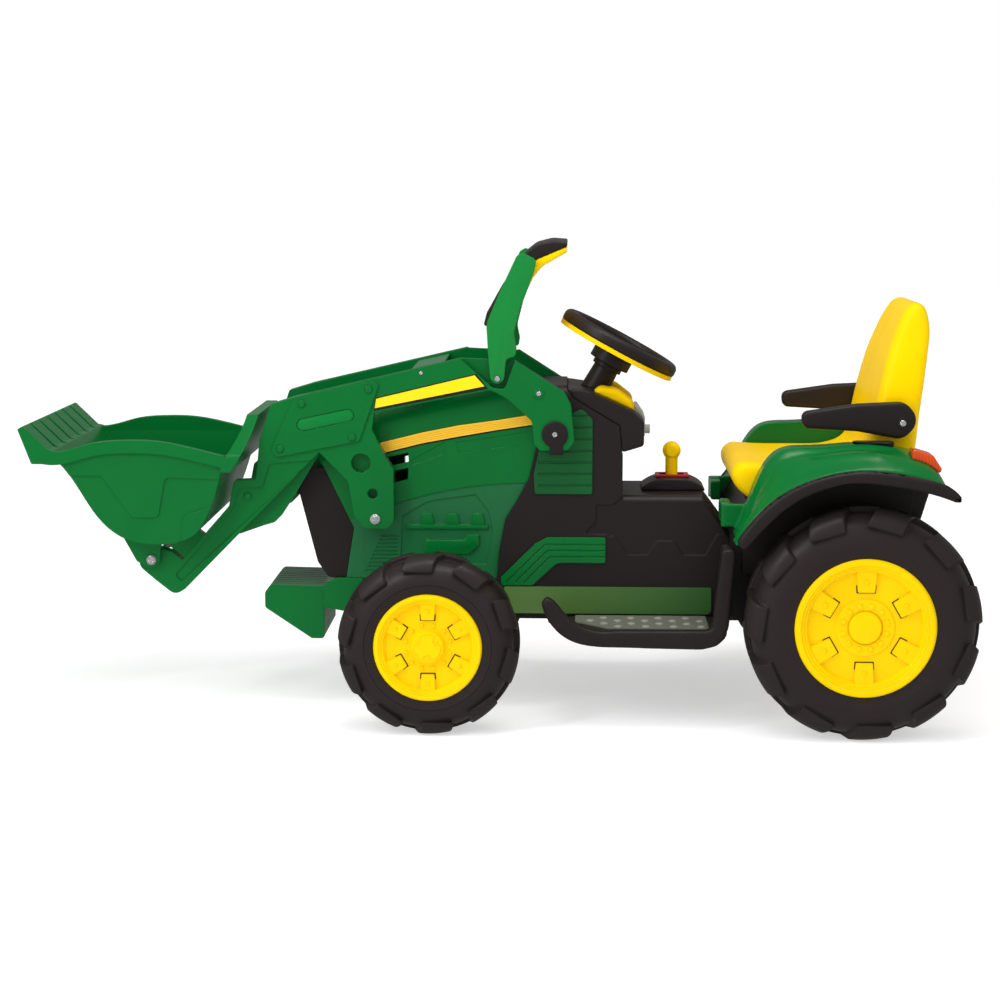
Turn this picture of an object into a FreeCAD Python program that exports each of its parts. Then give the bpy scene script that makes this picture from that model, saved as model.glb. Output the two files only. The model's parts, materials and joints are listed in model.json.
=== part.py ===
import FreeCAD, Part
import math
import os

os.makedirs("parts", exist_ok=True)

# Ride-on tractor toy with a front loader, in millimetres.
# X runs from the bucket (minus) to the seat (plus), Y to the driver's right, Z up from the ground.

# Wheels
rear_tyre_radius = 198.0
rear_tyre_width = 112.0
rear_rim_radius = 118.0
rear_wheel_x = 623.0
rear_wheel_face = 306.0
front_tyre_radius = 155.0
front_tyre_width = 95.0
front_rim_radius = 92.0
front_wheel_x = -109.0
front_wheel_face = 289.0
lug_depth = 9.0
rim_dish = 13.0
rear_lug_count = 11
front_lug_count = 10
axle_radius = 8.0

# Widths of the body, counted from the middle plane
body_half = 98.0
rear_half = 158.0
fender_face = 284.0
footrest_face = 235.0
hood_step = 5.0
wheel_clearance = 15.0
shell_wall = 4.0
relief = 1.4
trim_thickness = 3.0

# Heights of the body
chassis_floor_z = 165.0
chassis_wall_height = 21.0
body_bottom_z = 174.0
hood_bottom_z = 236.0
tunnel_top_z = 387.0
console_height = 22.0
seat_deck_z = 385.0
tail_overhang = 77.0
footrest_floor_z = 172.0

# Loader
loader_pivot_x = 103.0
loader_pivot_z = 499.0
loader_pin_radius = 10.0
arm_gap = 3.0
arm_thickness = 23.0
arm_wall = 5.0
handle_pivot_dx = -100.0
handle_pivot_dz = 96.0
handle_pin_radius = 5.0
upright_thickness = 15.0
bucket_half = 187.0
bucket_pivot_dx = -708.0
bucket_pivot_dz = -224.0
bucket_pin_radius = 6.0
bucket_wall = 4.0
bucket_lip = 6.0
bucket_emboss = 2.0
bucket_ear_thickness = 10.0
tooth_count = 7
tooth_gap = 11.0

# Steering
steering_wheel_x = 215.0
steering_wheel_z = 644.0
steering_tilt = 28.2
steering_rim_radius = 100.0
steering_tube_radius = 12.0
steering_shaft_radius = 7.0
kingpin_inset = 29.0
kingpin_radius = 8.0
steering_arm = 50.0
steering_crank = 29.0
tie_rod_z = 126.0
tie_rod_thickness = 6.0

# Seat, armrests and small controls
seat_half = 152.0
seat_wall = 5.0
armrest_thickness = 24.0
armrest_pivot_dx = 71.0
armrest_pivot_dz = 142.0
bolt_radius = 5.0
lever_radius = 11.0
lever_ball_radius = 16.0
lever_ball_z = 455.0
lever_pivot_z = 390.0
lever_slot_half = 13.0
pedal_length = 84.0
pedal_tilt = 13.0

# Fits
running_gap = 0.05
close_gap = 0.3
bore_gap = 0.2
moving_gap = 1.0

# Values that follow from the sizes above
hood_half = body_half - hood_step
chassis_half = body_half - shell_wall
kingpin_half = front_wheel_face - front_tyre_width - kingpin_inset
body_rear_x = rear_wheel_x - rear_tyre_radius - wheel_clearance
lever_x = body_rear_x - 98
pedal_hinge_x = body_rear_x - 174
rear_axle_z = rear_tyre_radius
front_axle_z = front_tyre_radius
arm_inner = body_half + trim_thickness + arm_gap
arm_outer = arm_inner + arm_thickness
ear_inner = arm_outer + moving_gap
ear_outer = ear_inner + bucket_ear_thickness
handle_x = loader_pivot_x + handle_pivot_dx
handle_z = loader_pivot_z + handle_pivot_dz
bucket_x = loader_pivot_x + bucket_pivot_dx
bucket_z = loader_pivot_z + bucket_pivot_dz
rear_end_x = rear_wheel_x + tail_overhang
armrest_x = rear_wheel_x + armrest_pivot_dx
armrest_z = seat_deck_z + armrest_pivot_dz
armrest_inner = seat_half + moving_gap
armrest_outer = armrest_inner + armrest_thickness
upright_inner = arm_inner + arm_wall + moving_gap
upright_outer = upright_inner + upright_thickness
tilt = math.radians(steering_tilt)
steering_axis = FreeCAD.Vector(math.sin(tilt), 0, math.cos(tilt))

X_AXIS = FreeCAD.Vector(1, 0, 0)
Y_AXIS = FreeCAD.Vector(0, 1, 0)
Z_AXIS = FreeCAD.Vector(0, 0, 1)
nodes = {}


# Drawing helpers

def rounded_wire(points, place):
    """Closed wire through points (a, b) or (a, b, radius); a radius rounds that corner."""
    corners = []
    for index, point in enumerate(points):
        here = FreeCAD.Vector(point[0], point[1], 0)
        before = FreeCAD.Vector(*points[index - 1][:2], 0) - here
        after = FreeCAD.Vector(*points[(index + 1) % len(points)][:2], 0) - here
        radius = point[2] if len(point) > 2 else 0
        if radius == 0:
            corners.append((here, None, here))
            continue
        before.normalize()
        after.normalize()
        half_angle = before.getAngle(after) / 2
        reach = radius / math.tan(half_angle)
        middle = before + after
        middle.normalize()
        apex = here + middle * (radius / math.sin(half_angle) - radius)
        corners.append((here + before * reach, apex, here + after * reach))
    edges = []
    for index, (start, apex, end) in enumerate(corners):
        if apex is not None:
            edges.append(Part.Arc(place(start), place(apex), place(end)).toShape())
        following = corners[(index + 1) % len(corners)][0]
        if (following - end).Length > 1e-6:
            edges.append(Part.makeLine(place(end), place(following)))
    return Part.Wire(edges)


def plate(points, y_low, y_high):
    """Side outline in X and Z, given thickness along Y."""
    wire = rounded_wire(points, lambda p: FreeCAD.Vector(p.x, y_low, p.y))
    return Part.Face(wire).extrude(FreeCAD.Vector(0, y_high - y_low, 0))


def spline(points, place):
    """Smooth edge through points (a, b)."""
    line = Part.BSplineCurve()
    line.interpolate([place(FreeCAD.Vector(p[0], p[1], 0)) for p in points])
    return line.toShape()


def band_wire(there, back, place):
    """Closed wire of two smooth lines with straight ends."""
    first = spline(there, place)
    second = spline(back, place)
    end = Part.makeLine(first.valueAt(first.LastParameter), second.valueAt(second.FirstParameter))
    start = Part.makeLine(second.valueAt(second.LastParameter), first.valueAt(first.FirstParameter))
    return Part.Wire([first, end, second, start])


def band(there, back, y_low, y_high):
    """Side outline of two smooth lines in X and Z, given thickness along Y."""
    wire = band_wire(there, back, lambda p: FreeCAD.Vector(p.x, y_low, p.y))
    return Part.Face(wire).extrude(FreeCAD.Vector(0, y_high - y_low, 0))


def inset_line(points, depth):
    """The same line moved to its left by a depth."""
    moved = []
    for index, point in enumerate(points):
        before = points[max(index - 1, 0)]
        after = points[min(index + 1, len(points) - 1)]
        along = FreeCAD.Vector(after[0] - before[0], after[1] - before[1], 0)
        along.normalize()
        moved.append((point[0] - along.y * depth, point[1] + along.x * depth))
    return moved


def slab(points, z_low, z_high):
    """Plan outline in X and Y, given thickness along Z."""
    wire = rounded_wire(points, lambda p: FreeCAD.Vector(p.x, p.y, z_low))
    return Part.Face(wire).extrude(FreeCAD.Vector(0, 0, z_high - z_low))


def front_slab(points, x_low, x_high):
    """Front outline in Y and Z, given thickness along X."""
    wire = rounded_wire(points, lambda p: FreeCAD.Vector(x_low, p.x, p.y))
    return Part.Face(wire).extrude(FreeCAD.Vector(x_high - x_low, 0, 0))


def block(x_low, x_high, y_low, y_high, z_low, z_high):
    corner = FreeCAD.Vector(x_low, y_low, z_low)
    return Part.makeBox(x_high - x_low, y_high - y_low, z_high - z_low, corner)


def cross_rod(x, z, radius, y_low, y_high):
    return Part.makeCylinder(radius, y_high - y_low, FreeCAD.Vector(x, y_low, z), Y_AXIS)


def upright_rod(x, y, radius, z_low, z_high):
    return Part.makeCylinder(radius, z_high - z_low, FreeCAD.Vector(x, y, z_low), Z_AXIS)


def turned(profile, x, z):
    """Solid of revolution about a cross axis at x, z; the profile is (radius, y)."""
    wire = rounded_wire(profile, lambda p: FreeCAD.Vector(x + p.x, p.y, z))
    return Part.Face(wire).revolve(FreeCAD.Vector(x, 0, z), Y_AXIS, 360)


def mirrored(shape):
    return shape.mirror(FreeCAD.Vector(0, 0, 0), Y_AXIS)


def pair(shape):
    """A piece of the right-hand side together with its mirror image."""
    return Part.makeCompound([mirrored(shape), shape])


def joined(first, *others):
    return first.multiFuse(list(others)).removeSplitter()


def offset_points(points, dx, dz):
    return [(p[0] + dx, p[1] + dz) + tuple(p[2:]) for p in points]


def obround(x_low, z_low, x_high, z_high, half):
    """Slot outline with round ends about two centres."""
    along = FreeCAD.Vector(x_high - x_low, z_high - z_low, 0)
    along.normalize()
    reach = along * half
    corners = []
    ends = ((x_low, z_low, -1, 1), (x_low, z_low, -1, -1), (x_high, z_high, 1, -1), (x_high, z_high, 1, 1))
    for x, z, sign, turn in ends:
        across = x + sign * reach.x - turn * reach.y
        up = z + sign * reach.y + turn * reach.x
        corners.append((across, up, 0.98 * half))
    return corners


def arched_wire(x, half, z_low, z_high, radius):
    """Cross-section of a body shell at x: upright sides and a rounded top."""
    outline = [(-half, z_low), (half, z_low), (half, z_high, radius), (-half, z_high, radius)]
    return rounded_wire(outline, lambda p: FreeCAD.Vector(x, p.x, p.y))


def arched_body(stations, inset):
    """Loft through (x, half width, top, radius); the inset makes the inner form of a shell."""
    wires = []
    for x, half, top, radius in stations:
        wires.append(arched_wire(x, half - inset, 0, top - inset, radius - inset))
    return Part.makeLoft(wires, True, True)


# Wheels, drawn for the right-hand side

def tyre(x, radius, width, rim_radius, face, lug_count):
    """Ring with rounded shoulders and two rows of long slanting tread lugs."""
    inner = face - width
    carcass_radius = radius - lug_depth
    carcass_round = 0.40 * width
    lug_round = 0.30 * width
    lug_inset = 0.5
    bead = rim_radius + bore_gap
    wall_step = 4.0
    bead_width = 0.10 * radius
    ring = turned([
        (bead, inner + wall_step),
        (bead + bead_width, inner, 6),
        (carcass_radius, inner, carcass_round),
        (carcass_radius, face, carcass_round),
        (bead + bead_width, face, 6),
        (bead, face - wall_step),
    ], x, radius)
    middle = face - width / 2
    lug_width = 0.54 * 2 * math.pi * radius / lug_count
    slant = 0.35 * lug_width
    lug_root = 0.84 * radius
    sheet = radius - lug_root + 6
    lugs = []
    for row, edge in enumerate((face, inner)):
        sketch = [
            (-lug_width / 2, middle),
            (lug_width / 2, middle),
            (lug_width / 2 + slant, edge),
            (-lug_width / 2 + slant, edge),
        ]
        wire = rounded_wire(sketch, lambda p: FreeCAD.Vector(x + p.x, p.y, radius - lug_root))
        lug = Part.Face(wire).extrude(FreeCAD.Vector(0, 0, -sheet))
        for index in range(lug_count):
            turn = 360.0 * (index + 0.5 * row) / lug_count
            lugs.append(lug.rotated(FreeCAD.Vector(x, 0, radius), Y_AXIS, turn))
    hoop = turned([
        (lug_root - 4, inner + lug_inset),
        (radius, inner + lug_inset, lug_round),
        (radius, face - lug_inset, lug_round),
        (lug_root - 4, face - lug_inset),
    ], x, radius)
    tread = Part.makeCompound(lugs).common(hoop)
    return ring.multiFuse(tread.Solids)


def rim(x, axle_z, radius, width, face, hub_inner, hub_line):
    """Dished disc: stepped lip, the given hub line about the axle, and six tabs round the dish."""
    dish = face - rim_dish
    disc = 5.0
    barrel = face - width + 6
    hub = 2.6 * axle_radius
    bore = axle_radius + running_gap
    axle_end = dish - disc
    profile = [
        (bore, hub_inner),
        (hub, hub_inner),
        (hub, dish - disc),
        (0.74 * radius, dish - disc),
        (radius - disc, face - 18),
        (radius - disc, barrel),
        (radius, barrel),
        (radius, face - 4),
        (0.97 * radius, face, 2),
        (0.91 * radius, face, 1.5),
        (0.90 * radius, face - 2.5),
        (0.87 * radius, face - 2.5, 1.5),
        (0.86 * radius, face - 5),
        (0.83 * radius, face - 5, 1.5),
        (0.80 * radius, dish, 1.5),
    ]
    profile += [(share * radius, dish + rise, *corner) for share, rise, *corner in hub_line]
    profile += [(0, axle_end), (bore, axle_end)]
    body = turned(profile, x, axle_z)
    tabs = []
    for index in range(6):
        tab = plate([
            (x - 0.12 * radius, axle_z + 0.51 * radius, 2),
            (x + 0.12 * radius, axle_z + 0.51 * radius, 2),
            (x + 0.145 * radius, axle_z + 0.83 * radius),
            (x - 0.145 * radius, axle_z + 0.83 * radius),
        ], dish - 2, dish + 5)
        tabs.append(tab.rotated(FreeCAD.Vector(x, 0, axle_z), Y_AXIS, 60 * index))
    return joined(body, *tabs)


def wheels():
    front = tyre(front_wheel_x, front_tyre_radius, front_tyre_width, front_rim_radius,
                 front_wheel_face, front_lug_count)
    rear = tyre(rear_wheel_x, rear_tyre_radius, rear_tyre_width, rear_rim_radius,
                rear_wheel_face, rear_lug_count)
    plain_hub = [(0.34, 0), (0.31, 3, 1.5), (0.295, 9, 3), (0, 10)]
    ringed_hub = [(0.42, 0), (0.41, 2.5, 1), (0.25, 2.5, 1), (0.24, 0), (0.225, 7, 3), (0, 8.5)]
    front_rim = rim(front_wheel_x, front_axle_z, front_rim_radius, front_tyre_width,
                    front_wheel_face, front_wheel_face - front_tyre_width + 2, plain_hub)
    rear_rim = rim(rear_wheel_x, rear_axle_z, rear_rim_radius, rear_tyre_width,
                   rear_wheel_face, rear_wheel_face - rear_tyre_width - 2, ringed_hub)
    for name, shape in (("front_tyre", front), ("rear_tyre", rear),
                        ("front_rim", front_rim), ("rear_rim", rear_rim)):
        nodes[name + "_right"] = shape
        nodes[name + "_left"] = mirrored(shape)


# Chassis, axles and drive

def chassis():
    """Shallow tray under the body, with a lowered battery well and a slot for the steering shaft."""
    x_low = bumper_rear_x
    x_high = rear_end_x - 50
    tray = block(x_low, x_high, -chassis_half, chassis_half, chassis_floor_z, chassis_top_z)
    hollow = block(x_low + shell_wall, x_high - shell_wall, -chassis_half + shell_wall,
                   chassis_half - shell_wall, chassis_floor_z + shell_wall, chassis_top_z)
    well = block(well_front_x, well_rear_x, -well_half, well_half, chassis_floor_z - well_depth,
                 chassis_floor_z)
    drop = (steering_wheel_z - chassis_floor_z) / math.cos(tilt)
    slot_x = steering_wheel_x - drop * math.sin(tilt)
    slot = block(slot_x - 20, slot_x + 24, -14, 14, chassis_floor_z - 1, chassis_top_z)
    nodes["chassis_tray"] = joined(tray.cut(hollow).cut(slot), well)


def clear_of_tray(shape):
    """Cuts the room that the tray takes out of a body shell."""
    return shape.cut(block(-900, 900, -chassis_half, chassis_half, 0, chassis_top_z))


def front_axle():
    """Beam under the tray with a kingpin sleeve at each end."""
    beam_low = front_axle_z - 15
    beam = block(front_wheel_x - 20, front_wheel_x + 20, -kingpin_half, kingpin_half,
                 beam_low, chassis_floor_z)
    ends = []
    bores = []
    for side in (-1, 1):
        y = side * kingpin_half
        ends.append(upright_rod(front_wheel_x, y, sleeve_radius, sleeve_low, sleeve_high))
        bores.append(upright_rod(front_wheel_x, y, kingpin_radius + running_gap, sleeve_low - 1,
                                 sleeve_high + 1))
    nodes["front_axle_beam"] = joined(beam, *ends).cut(Part.makeCompound(bores))


def knuckle():
    """Kingpin, C-shaped carrier, stub axle and steering arm of the right-hand front wheel."""
    plate_thickness = 8.0
    low = sleeve_low - moving_gap - plate_thickness
    high = sleeve_high + moving_gap + plate_thickness
    web_inner = kingpin_half + sleeve_radius + 3
    web_outer = web_inner + plate_thickness
    stub_end = front_wheel_face - rim_dish - 6
    pin = upright_rod(front_wheel_x, kingpin_half, kingpin_radius, low, high)
    carrier = []
    for z in (low, high - plate_thickness):
        carrier.append(block(front_wheel_x - 13, front_wheel_x + 13, kingpin_half - 12, web_outer,
                             z, z + plate_thickness))
    carrier.append(block(front_wheel_x - 13, front_wheel_x + 13, web_inner, web_outer, low, high))
    carrier.append(cross_rod(front_wheel_x, front_axle_z, axle_radius, web_inner, stub_end))
    arm_end = front_wheel_x + steering_arm
    carrier.append(slab([
        (front_wheel_x, kingpin_half - 8),
        (arm_end, kingpin_half - 8, 7),
        (arm_end + 8, kingpin_half, 7),
        (arm_end, kingpin_half + 8, 7),
        (front_wheel_x, kingpin_half + 8),
    ], low, low + plate_thickness))
    carrier.append(upright_rod(arm_end, kingpin_half, tie_pin_radius, low, tie_rod_z + tie_rod_thickness + 3))
    return joined(pin, *carrier)


def steering_gear():
    nodes["knuckle_right"] = knuckle()
    nodes["knuckle_left"] = mirrored(nodes["knuckle_right"])
    centre = FreeCAD.Vector(steering_wheel_x, 0, steering_wheel_z)
    crank_side = FreeCAD.Vector(math.cos(tilt), 0, -math.sin(tilt))
    pin_middle = tie_rod_z + tie_rod_thickness / 2
    length = (steering_wheel_z - steering_crank * math.sin(tilt) - pin_middle) / math.cos(tilt)
    crank_drop = length - 22
    shaft = Part.makeCylinder(steering_shaft_radius, crank_drop + 4, centre, steering_axis * -1)
    crank_start = centre - steering_axis * (crank_drop - 4)
    web = Part.makeBox(steering_crank + 12, 12, 8)
    web.translate(FreeCAD.Vector(-6, -6, -8))
    web.rotate(FreeCAD.Vector(0, 0, 0), Y_AXIS, steering_tilt)
    web.translate(crank_start)
    pin_start = crank_start + crank_side * steering_crank
    pin = Part.makeCylinder(crank_pin_radius, 36, pin_start, steering_axis * -1)
    nodes["steering_shaft"] = joined(shaft, web, pin)
    tie_x = front_wheel_x + steering_arm
    pin_x = steering_wheel_x - length * math.sin(tilt) + steering_crank * math.cos(tilt)
    outline = [
        (tie_x - 14, -kingpin_half - 14, 6),
        (tie_x + 14, -kingpin_half - 14, 6),
        (tie_x + 14, -60),
        (pin_x + 20, -34),
        (pin_x + 20, 34),
        (tie_x + 14, 60),
        (tie_x + 14, kingpin_half + 14, 6),
        (tie_x - 14, kingpin_half + 14, 6),
    ]
    bar = slab(outline, tie_rod_z, tie_rod_z + tie_rod_thickness)
    slots = []
    for y, radius, x, reach in (
        (-kingpin_half, tie_pin_radius, tie_x, 5), (kingpin_half, tie_pin_radius, tie_x, 5),
        (0, crank_pin_radius, pin_x, 9),
    ):
        half = radius + link_slack
        slots.append(block(x - reach - half, x + reach - 2 + half, y - half, y + half,
                           tie_rod_z - 1, tie_rod_z + tie_rod_thickness + 1))
    nodes["tie_rod"] = bar.cut(Part.makeCompound(slots))


def rear_drive():
    axle_end = rear_wheel_face - rim_dish - 6
    nodes["rear_axle"] = cross_rod(rear_wheel_x, rear_axle_z, axle_radius, -axle_end, axle_end)
    outer = rear_wheel_face - rear_tyre_width - 5
    case = plate([
        (rear_wheel_x - 95, rear_axle_z - 6, 20),
        (rear_wheel_x - 40, rear_axle_z + 58, 20),
        (rear_wheel_x + 40, rear_axle_z + 52, 30),
        (rear_wheel_x + 52, rear_axle_z - 30, 30),
        (rear_wheel_x - 50, rear_axle_z - 48, 24),
    ], rear_half, outer)
    bore = cross_rod(rear_wheel_x, rear_axle_z, axle_radius + bore_gap, 0, outer + 1)
    motor = cross_rod(motor_x, motor_z, motor_radius, rear_half - 72, rear_half)
    nodes["gearmotors"] = pair(joined(case, motor).cut(bore))
    battery_low = chassis_floor_z + shell_wall
    box = block(body_rear_x + 22, body_rear_x + 122, -75, 75, battery_low, battery_low + 94)
    lid = block(body_rear_x + 26, body_rear_x + 118, -71, 71, battery_low + 94, battery_low + 100)
    nodes["battery"] = joined(box, lid)


# Body shells

def hood():
    """Bonnet shell: rounded top, cut at the front to the slanting grille line, with relief on both sides."""
    inside = arched_body(hood_stations, shell_wall)
    shell = arched_body(hood_stations, 0).cut(inside)
    outline = plate(grille_line + [(hood_bottom_rear_x, hood_bottom_z)] + hood_rear_line, -200, 200)
    shell = shell.common(outline)
    box = plate([(-104, 521, 3), (20, 523, 3), (20, 560, 3), (-104, 534, 3)], hood_half - 1, arm_inner - 4)
    stud = cross_rod(mast_foot_x, mast_stop_z - mast_stop_radius, mast_stop_radius,
                     hood_half - shell_wall, arm_inner - 2)
    cuts = hood_cuts()
    for piece in cuts + [mirrored(cut) for cut in cuts]:
        shell = shell.cut(piece)
    extras = [box, stud] + engine_relief()
    for piece in extras + [mirrored(extra) for extra in extras]:
        shell = shell.fuse(piece)
    nodes["hood"] = shell.cut(hood_windows())


def hood_cuts():
    """Lower side panel, engine bay, upper panels and louvre slots, cut into the right-hand side."""
    outer = hood_half + 10
    level = hood_half - relief
    seam = [(-280, 338), (-182, 369), (-127, 385), (-53, 400), (60, 408)]
    cuts = [band(seam, [(60, 200), (-280, 200)], level, outer)]
    bay = [(-170, 262), (-166, 348, 6), (-120, 375, 60), (-36, 387, 4), (-12, 355, 40), (-6, 318, 40),
           (-18, 262)]
    cuts.append(plate(bay, level - relief, outer))
    front_panel = [(-150, 448), (-90, 480), (-94, 458), (-150, 438)]
    rear_panel = [(-72, 480), (56, 499), (51, 477), (-65, 461)]
    for panel in (front_panel, rear_panel):
        cuts.append(plate(panel, hood_half - 0.6 * relief, outer))
    for index in range(10):
        z = 248 + 7 * index
        left = -233 + 0.45 * (z - 245)
        right = -175 - 0.74 * max(276 - z, 0)
        cuts.append(block(left, right, level - 0.8 * relief, outer, z, z + 3))
    return cuts


def engine_relief():
    """Moulded engine block in the bay: a head with three domes over a crankcase."""
    floor = hood_half - 2.5 * relief
    level = hood_half - relief
    pieces = [block(-160, -14, floor, level, 325, 334)]
    for x in (-122, -77, -32):
        dome = [(x - 13, 330), (x - 9, 354, 5), (x + 9, 354, 5), (x + 13, 330)]
        pieces.append(plate(dome, floor, level))
    crankcase = [(-126, 280, 6), (-126, 306, 6), (-56, 306, 6), (-50, 316, 2), (-30, 316, 2),
                 (-30, 296, 2), (-48, 280, 6)]
    pieces.append(plate(crankcase, floor, level))
    return pieces


def hood_windows():
    """Two slots behind each loader mast, right through the hood."""
    upper = plate([(-192, 453), (-155, 461), (-154, 445), (-192, 436)], -200, 200)
    lower = plate([(-192, 426), (-155, 434), (-156, 414), (-192, 404)], -200, 200)
    return Part.makeCompound([upper, lower])


def front_grille():
    """Black nose in front of the hood, hollow at the back, with upright ribs."""
    half = hood_half - 6
    nose = [
        (-304, 433), (-252, 326), (-267, hood_bottom_z), (-299, hood_bottom_z, 10),
        (-318, 264, 12), (-350, 392, 14), (-332, 434, 10),
    ]
    solid = plate(nose, -half, half)
    hollow = plate([
        (-296, 425), (-262, 356), (-240, 326), (-276, hood_bottom_z - 1), (-294, hood_bottom_z - 1),
        (-311, 268), (-342, 392), (-328, 426),
    ], -half + shell_wall, half - shell_wall)
    ribs = []
    for index in range(5):
        y = (index - 2) * 0.32 * half
        ribs.append(plate([(-352, 400), (-330, 400), (-302, 262), (-320, 262)], y - 3, y + 3))
    shell = solid.cut(hollow)
    bars = Part.makeCompound(ribs).cut(hollow)
    nodes["front_grille"] = joined(shell, *bars.Solids)
    pods = []
    for side in (-1, 1):
        centre = FreeCAD.Vector(-340, side * 0.83 * half, 398)
        pod = Part.makeCone(13, 10, 24, centre, FreeCAD.Vector(-1, 0, -0.25))
        pods.append(pod.cut(solid))
    nodes["lamp_pods"] = Part.makeCompound(pods)


def front_weights():
    """Row of slab weights ahead of the axle, with the bumper rail that carries them."""
    half = hood_half - 7
    stack = plate([
        (-308, 219), (-308, 124, 6), (-331, 124, 6), (-414, 180, 8), (-414, 208, 14), (-403, 221, 8),
    ], -half, half)
    slab_count = 10
    pitch = 2 * half / slab_count
    grooves = []
    for index in range(1, slab_count):
        y = -half + index * pitch
        grooves.append(plate([(-420, 170), (-420, 225), (-312, 225), (-312, 214), (-402, 214), (-408, 206),
                              (-408, 176)], y - 1.5, y + 1.5))
    stack = stack.cut(Part.makeCompound(grooves))
    rail = plate([
        (-308, 219), (-308, 182), (bumper_rear_x, 170), (bumper_rear_x, hood_bottom_z),
        (-282, hood_bottom_z, 12),
        (-304, 228, 10),
    ], -hood_half, hood_half)
    nodes["front_weights"] = joined(stack, rail)


def body_form(inset):
    """Tower with the tunnel behind it, as one filled form; the inset gives the hollow."""
    tower = arched_body([
        (-10, body_half, tower_top_z, 20), (tower_rear_x - inset, body_half, tower_top_z, 20),
    ], inset)
    tunnel = arched_body([
        (-10, body_half, tunnel_top_z, 16), (body_rear_x - 48 - 0.4 * inset, body_half, tunnel_top_z, 16),
        (body_rear_x - inset, body_half, tunnel_top_z - 65, 16),
    ], inset)
    return tower.fuse(tunnel)


def mid_body():
    """Black tower and tunnel shell between the hood and the seat."""
    shell = body_form(0).cut(body_form(shell_wall))
    side = hood_rear_line[::-1] + [
        (hood_bottom_rear_x, hood_bottom_z), (hood_bottom_rear_x, body_bottom_z),
        (body_rear_x, body_bottom_z),
        (body_rear_x, 450), (230, 450), (220, 463),
    ] + dash_line[::-1] + [(124, 640)]
    shell = shell.common(plate(side, -200, 200))
    pivot = cross_rod(loader_pivot_x, loader_pivot_z, loader_pin_radius + bore_gap, -200, 200)
    slot_half = lever_slot_half + 6
    lever_slot = block(lever_x - 24, lever_x + 24, -slot_half, slot_half, tunnel_top_z - 20,
                       tunnel_top_z + 20)
    sunk = plate(sunk_panel(), body_half - relief, body_half + 10)
    shell = shell.cut(pivot).cut(lever_slot).cut(sunk).cut(mirrored(sunk))
    nodes["mid_body"] = clear_of_tray(shell)
    trims()


def sunk_panel():
    """Outline of the tunnel side between the tower seam and the zigzag seam."""
    rear = body_rear_x
    return [
        (tower_rear_x, 430), (tower_rear_x, 386, 8), (206, 371, 8), (176, 371, 3), (176, 338, 18),
        (152, 318, 4),
        (196, 318), (200, 312, 3), (207, 319, 5), (232, 282, 4), (rear - 143, 282, 4), (rear - 127, 307, 5),
        (rear - 96, 307, 5), (rear - 81, 282, 4), (rear - 41, 282, 4), (rear - 21, 320, 5), (rear + 20, 320),
        (rear + 20, 430),
    ]


def trims():
    """Vent panels, swoosh trims and sills on the sides of the mid body."""
    inner = body_half
    outer = body_half + trim_thickness
    vent = plate([
        (68, 390, 6), (66, 424), (84, 508, 20), (150, 541, 8), (169, 522, 6), (169, 390, 4),
    ], inner, outer)
    ribs = []
    for index in range(7):
        z = 403 + 20.5 * index
        ribs.append(block(74, 200, outer - 1.5, outer + 1, z, z + 4))
    pivot = cross_rod(loader_pivot_x, loader_pivot_z, loader_pin_radius + moving_gap, 0, 200)
    nodes["vent_panels"] = pair(vent.cut(Part.makeCompound(ribs)).cut(pivot))
    swoosh = [
        (8, 240, 3), (70, 302, 10), (90, 313, 10), (193, 313, 3), (193, 267, 3), (108, 267, 20), (64, 226),
        (10, 226),
    ]
    body = plate(swoosh, inner, outer)
    lines = []
    for depth in (12, 23, 34):
        below = depth + 2.2
        lines.append(plate([(1.414 * depth, 232), (81 + 0.414 * depth, 313 - depth), (200, 313 - depth),
                            (200, 313 - below), (81 + 0.414 * below, 313 - below), (1.414 * below, 232)],
                           outer - 1.2, outer + 1))
    nodes["swoosh_trims"] = pair(body.cut(Part.makeCompound(lines)))
    sill = plate([(14, body_bottom_z + 2, 3), (body_rear_x - 30, body_bottom_z + 2, 8),
                  (body_rear_x - 30, 224, 3), (14, 224, 3)], inner, outer)
    nodes["body_sills"] = pair(sill)


def dashboard():
    """Wedge-shaped dash on the tower, with pods, radio panel and steering column."""
    side = dash_line + [(220, 463, 4), (259, 475, 6), (259, 518, 8), (238, 537, 10), (166, 570, 8)]
    solid = plate(side, -body_half + 1, body_half - 1)
    pocket = plate([(172, 550), (246, 513), (246, 486), (228, 480), (222, 515)],
                   -body_half + 9, body_half - 9)
    bore = Part.makeCylinder(steering_shaft_radius + 2, 200, steering_point(150), steering_axis)
    nodes["dashboard"] = solid.cut(pocket).cut(bore)
    column = Part.makeCone(26, 22, 106 - column_top, steering_point(106), steering_axis)
    collar = Part.makeCylinder(27, 8, steering_point(column_top + 8), steering_axis)
    nodes["steering_column"] = joined(column, collar).cut(solid).cut(bore)
    pod_profile = [(171, 550), (169, 567, 11), (182, 577, 12), (212, 573, 16), (242, 549, 14), (242, 525)]
    pod = plate(pod_profile, 32, 75)
    rounded = pod.makeFillet(9, [edge for edge in pod.Edges if on_pod_rim(edge)])
    nodes["dash_pods"] = pair(rounded.cut(solid).cut(nodes["steering_column"]))
    knob_x = 262
    radio = plate([(250, 482), (knob_x, 486, 2), (knob_x, 520, 4), (247, 542, 4), (240, 530)], -42, 42)
    nodes["radio_panel"] = radio.cut(solid)
    knob = Part.makeCylinder(8, 9, FreeCAD.Vector(knob_x + close_gap, -26, 497), X_AXIS)
    nodes["radio_knob"] = knob


def on_pod_rim(edge):
    """Long upper edges of a dash pod, which are rounded over."""
    ends = [vertex.Point for vertex in edge.Vertexes]
    across = abs(ends[0].y - ends[-1].y) > 1
    return not across and min(point.z for point in ends) > 548


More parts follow.
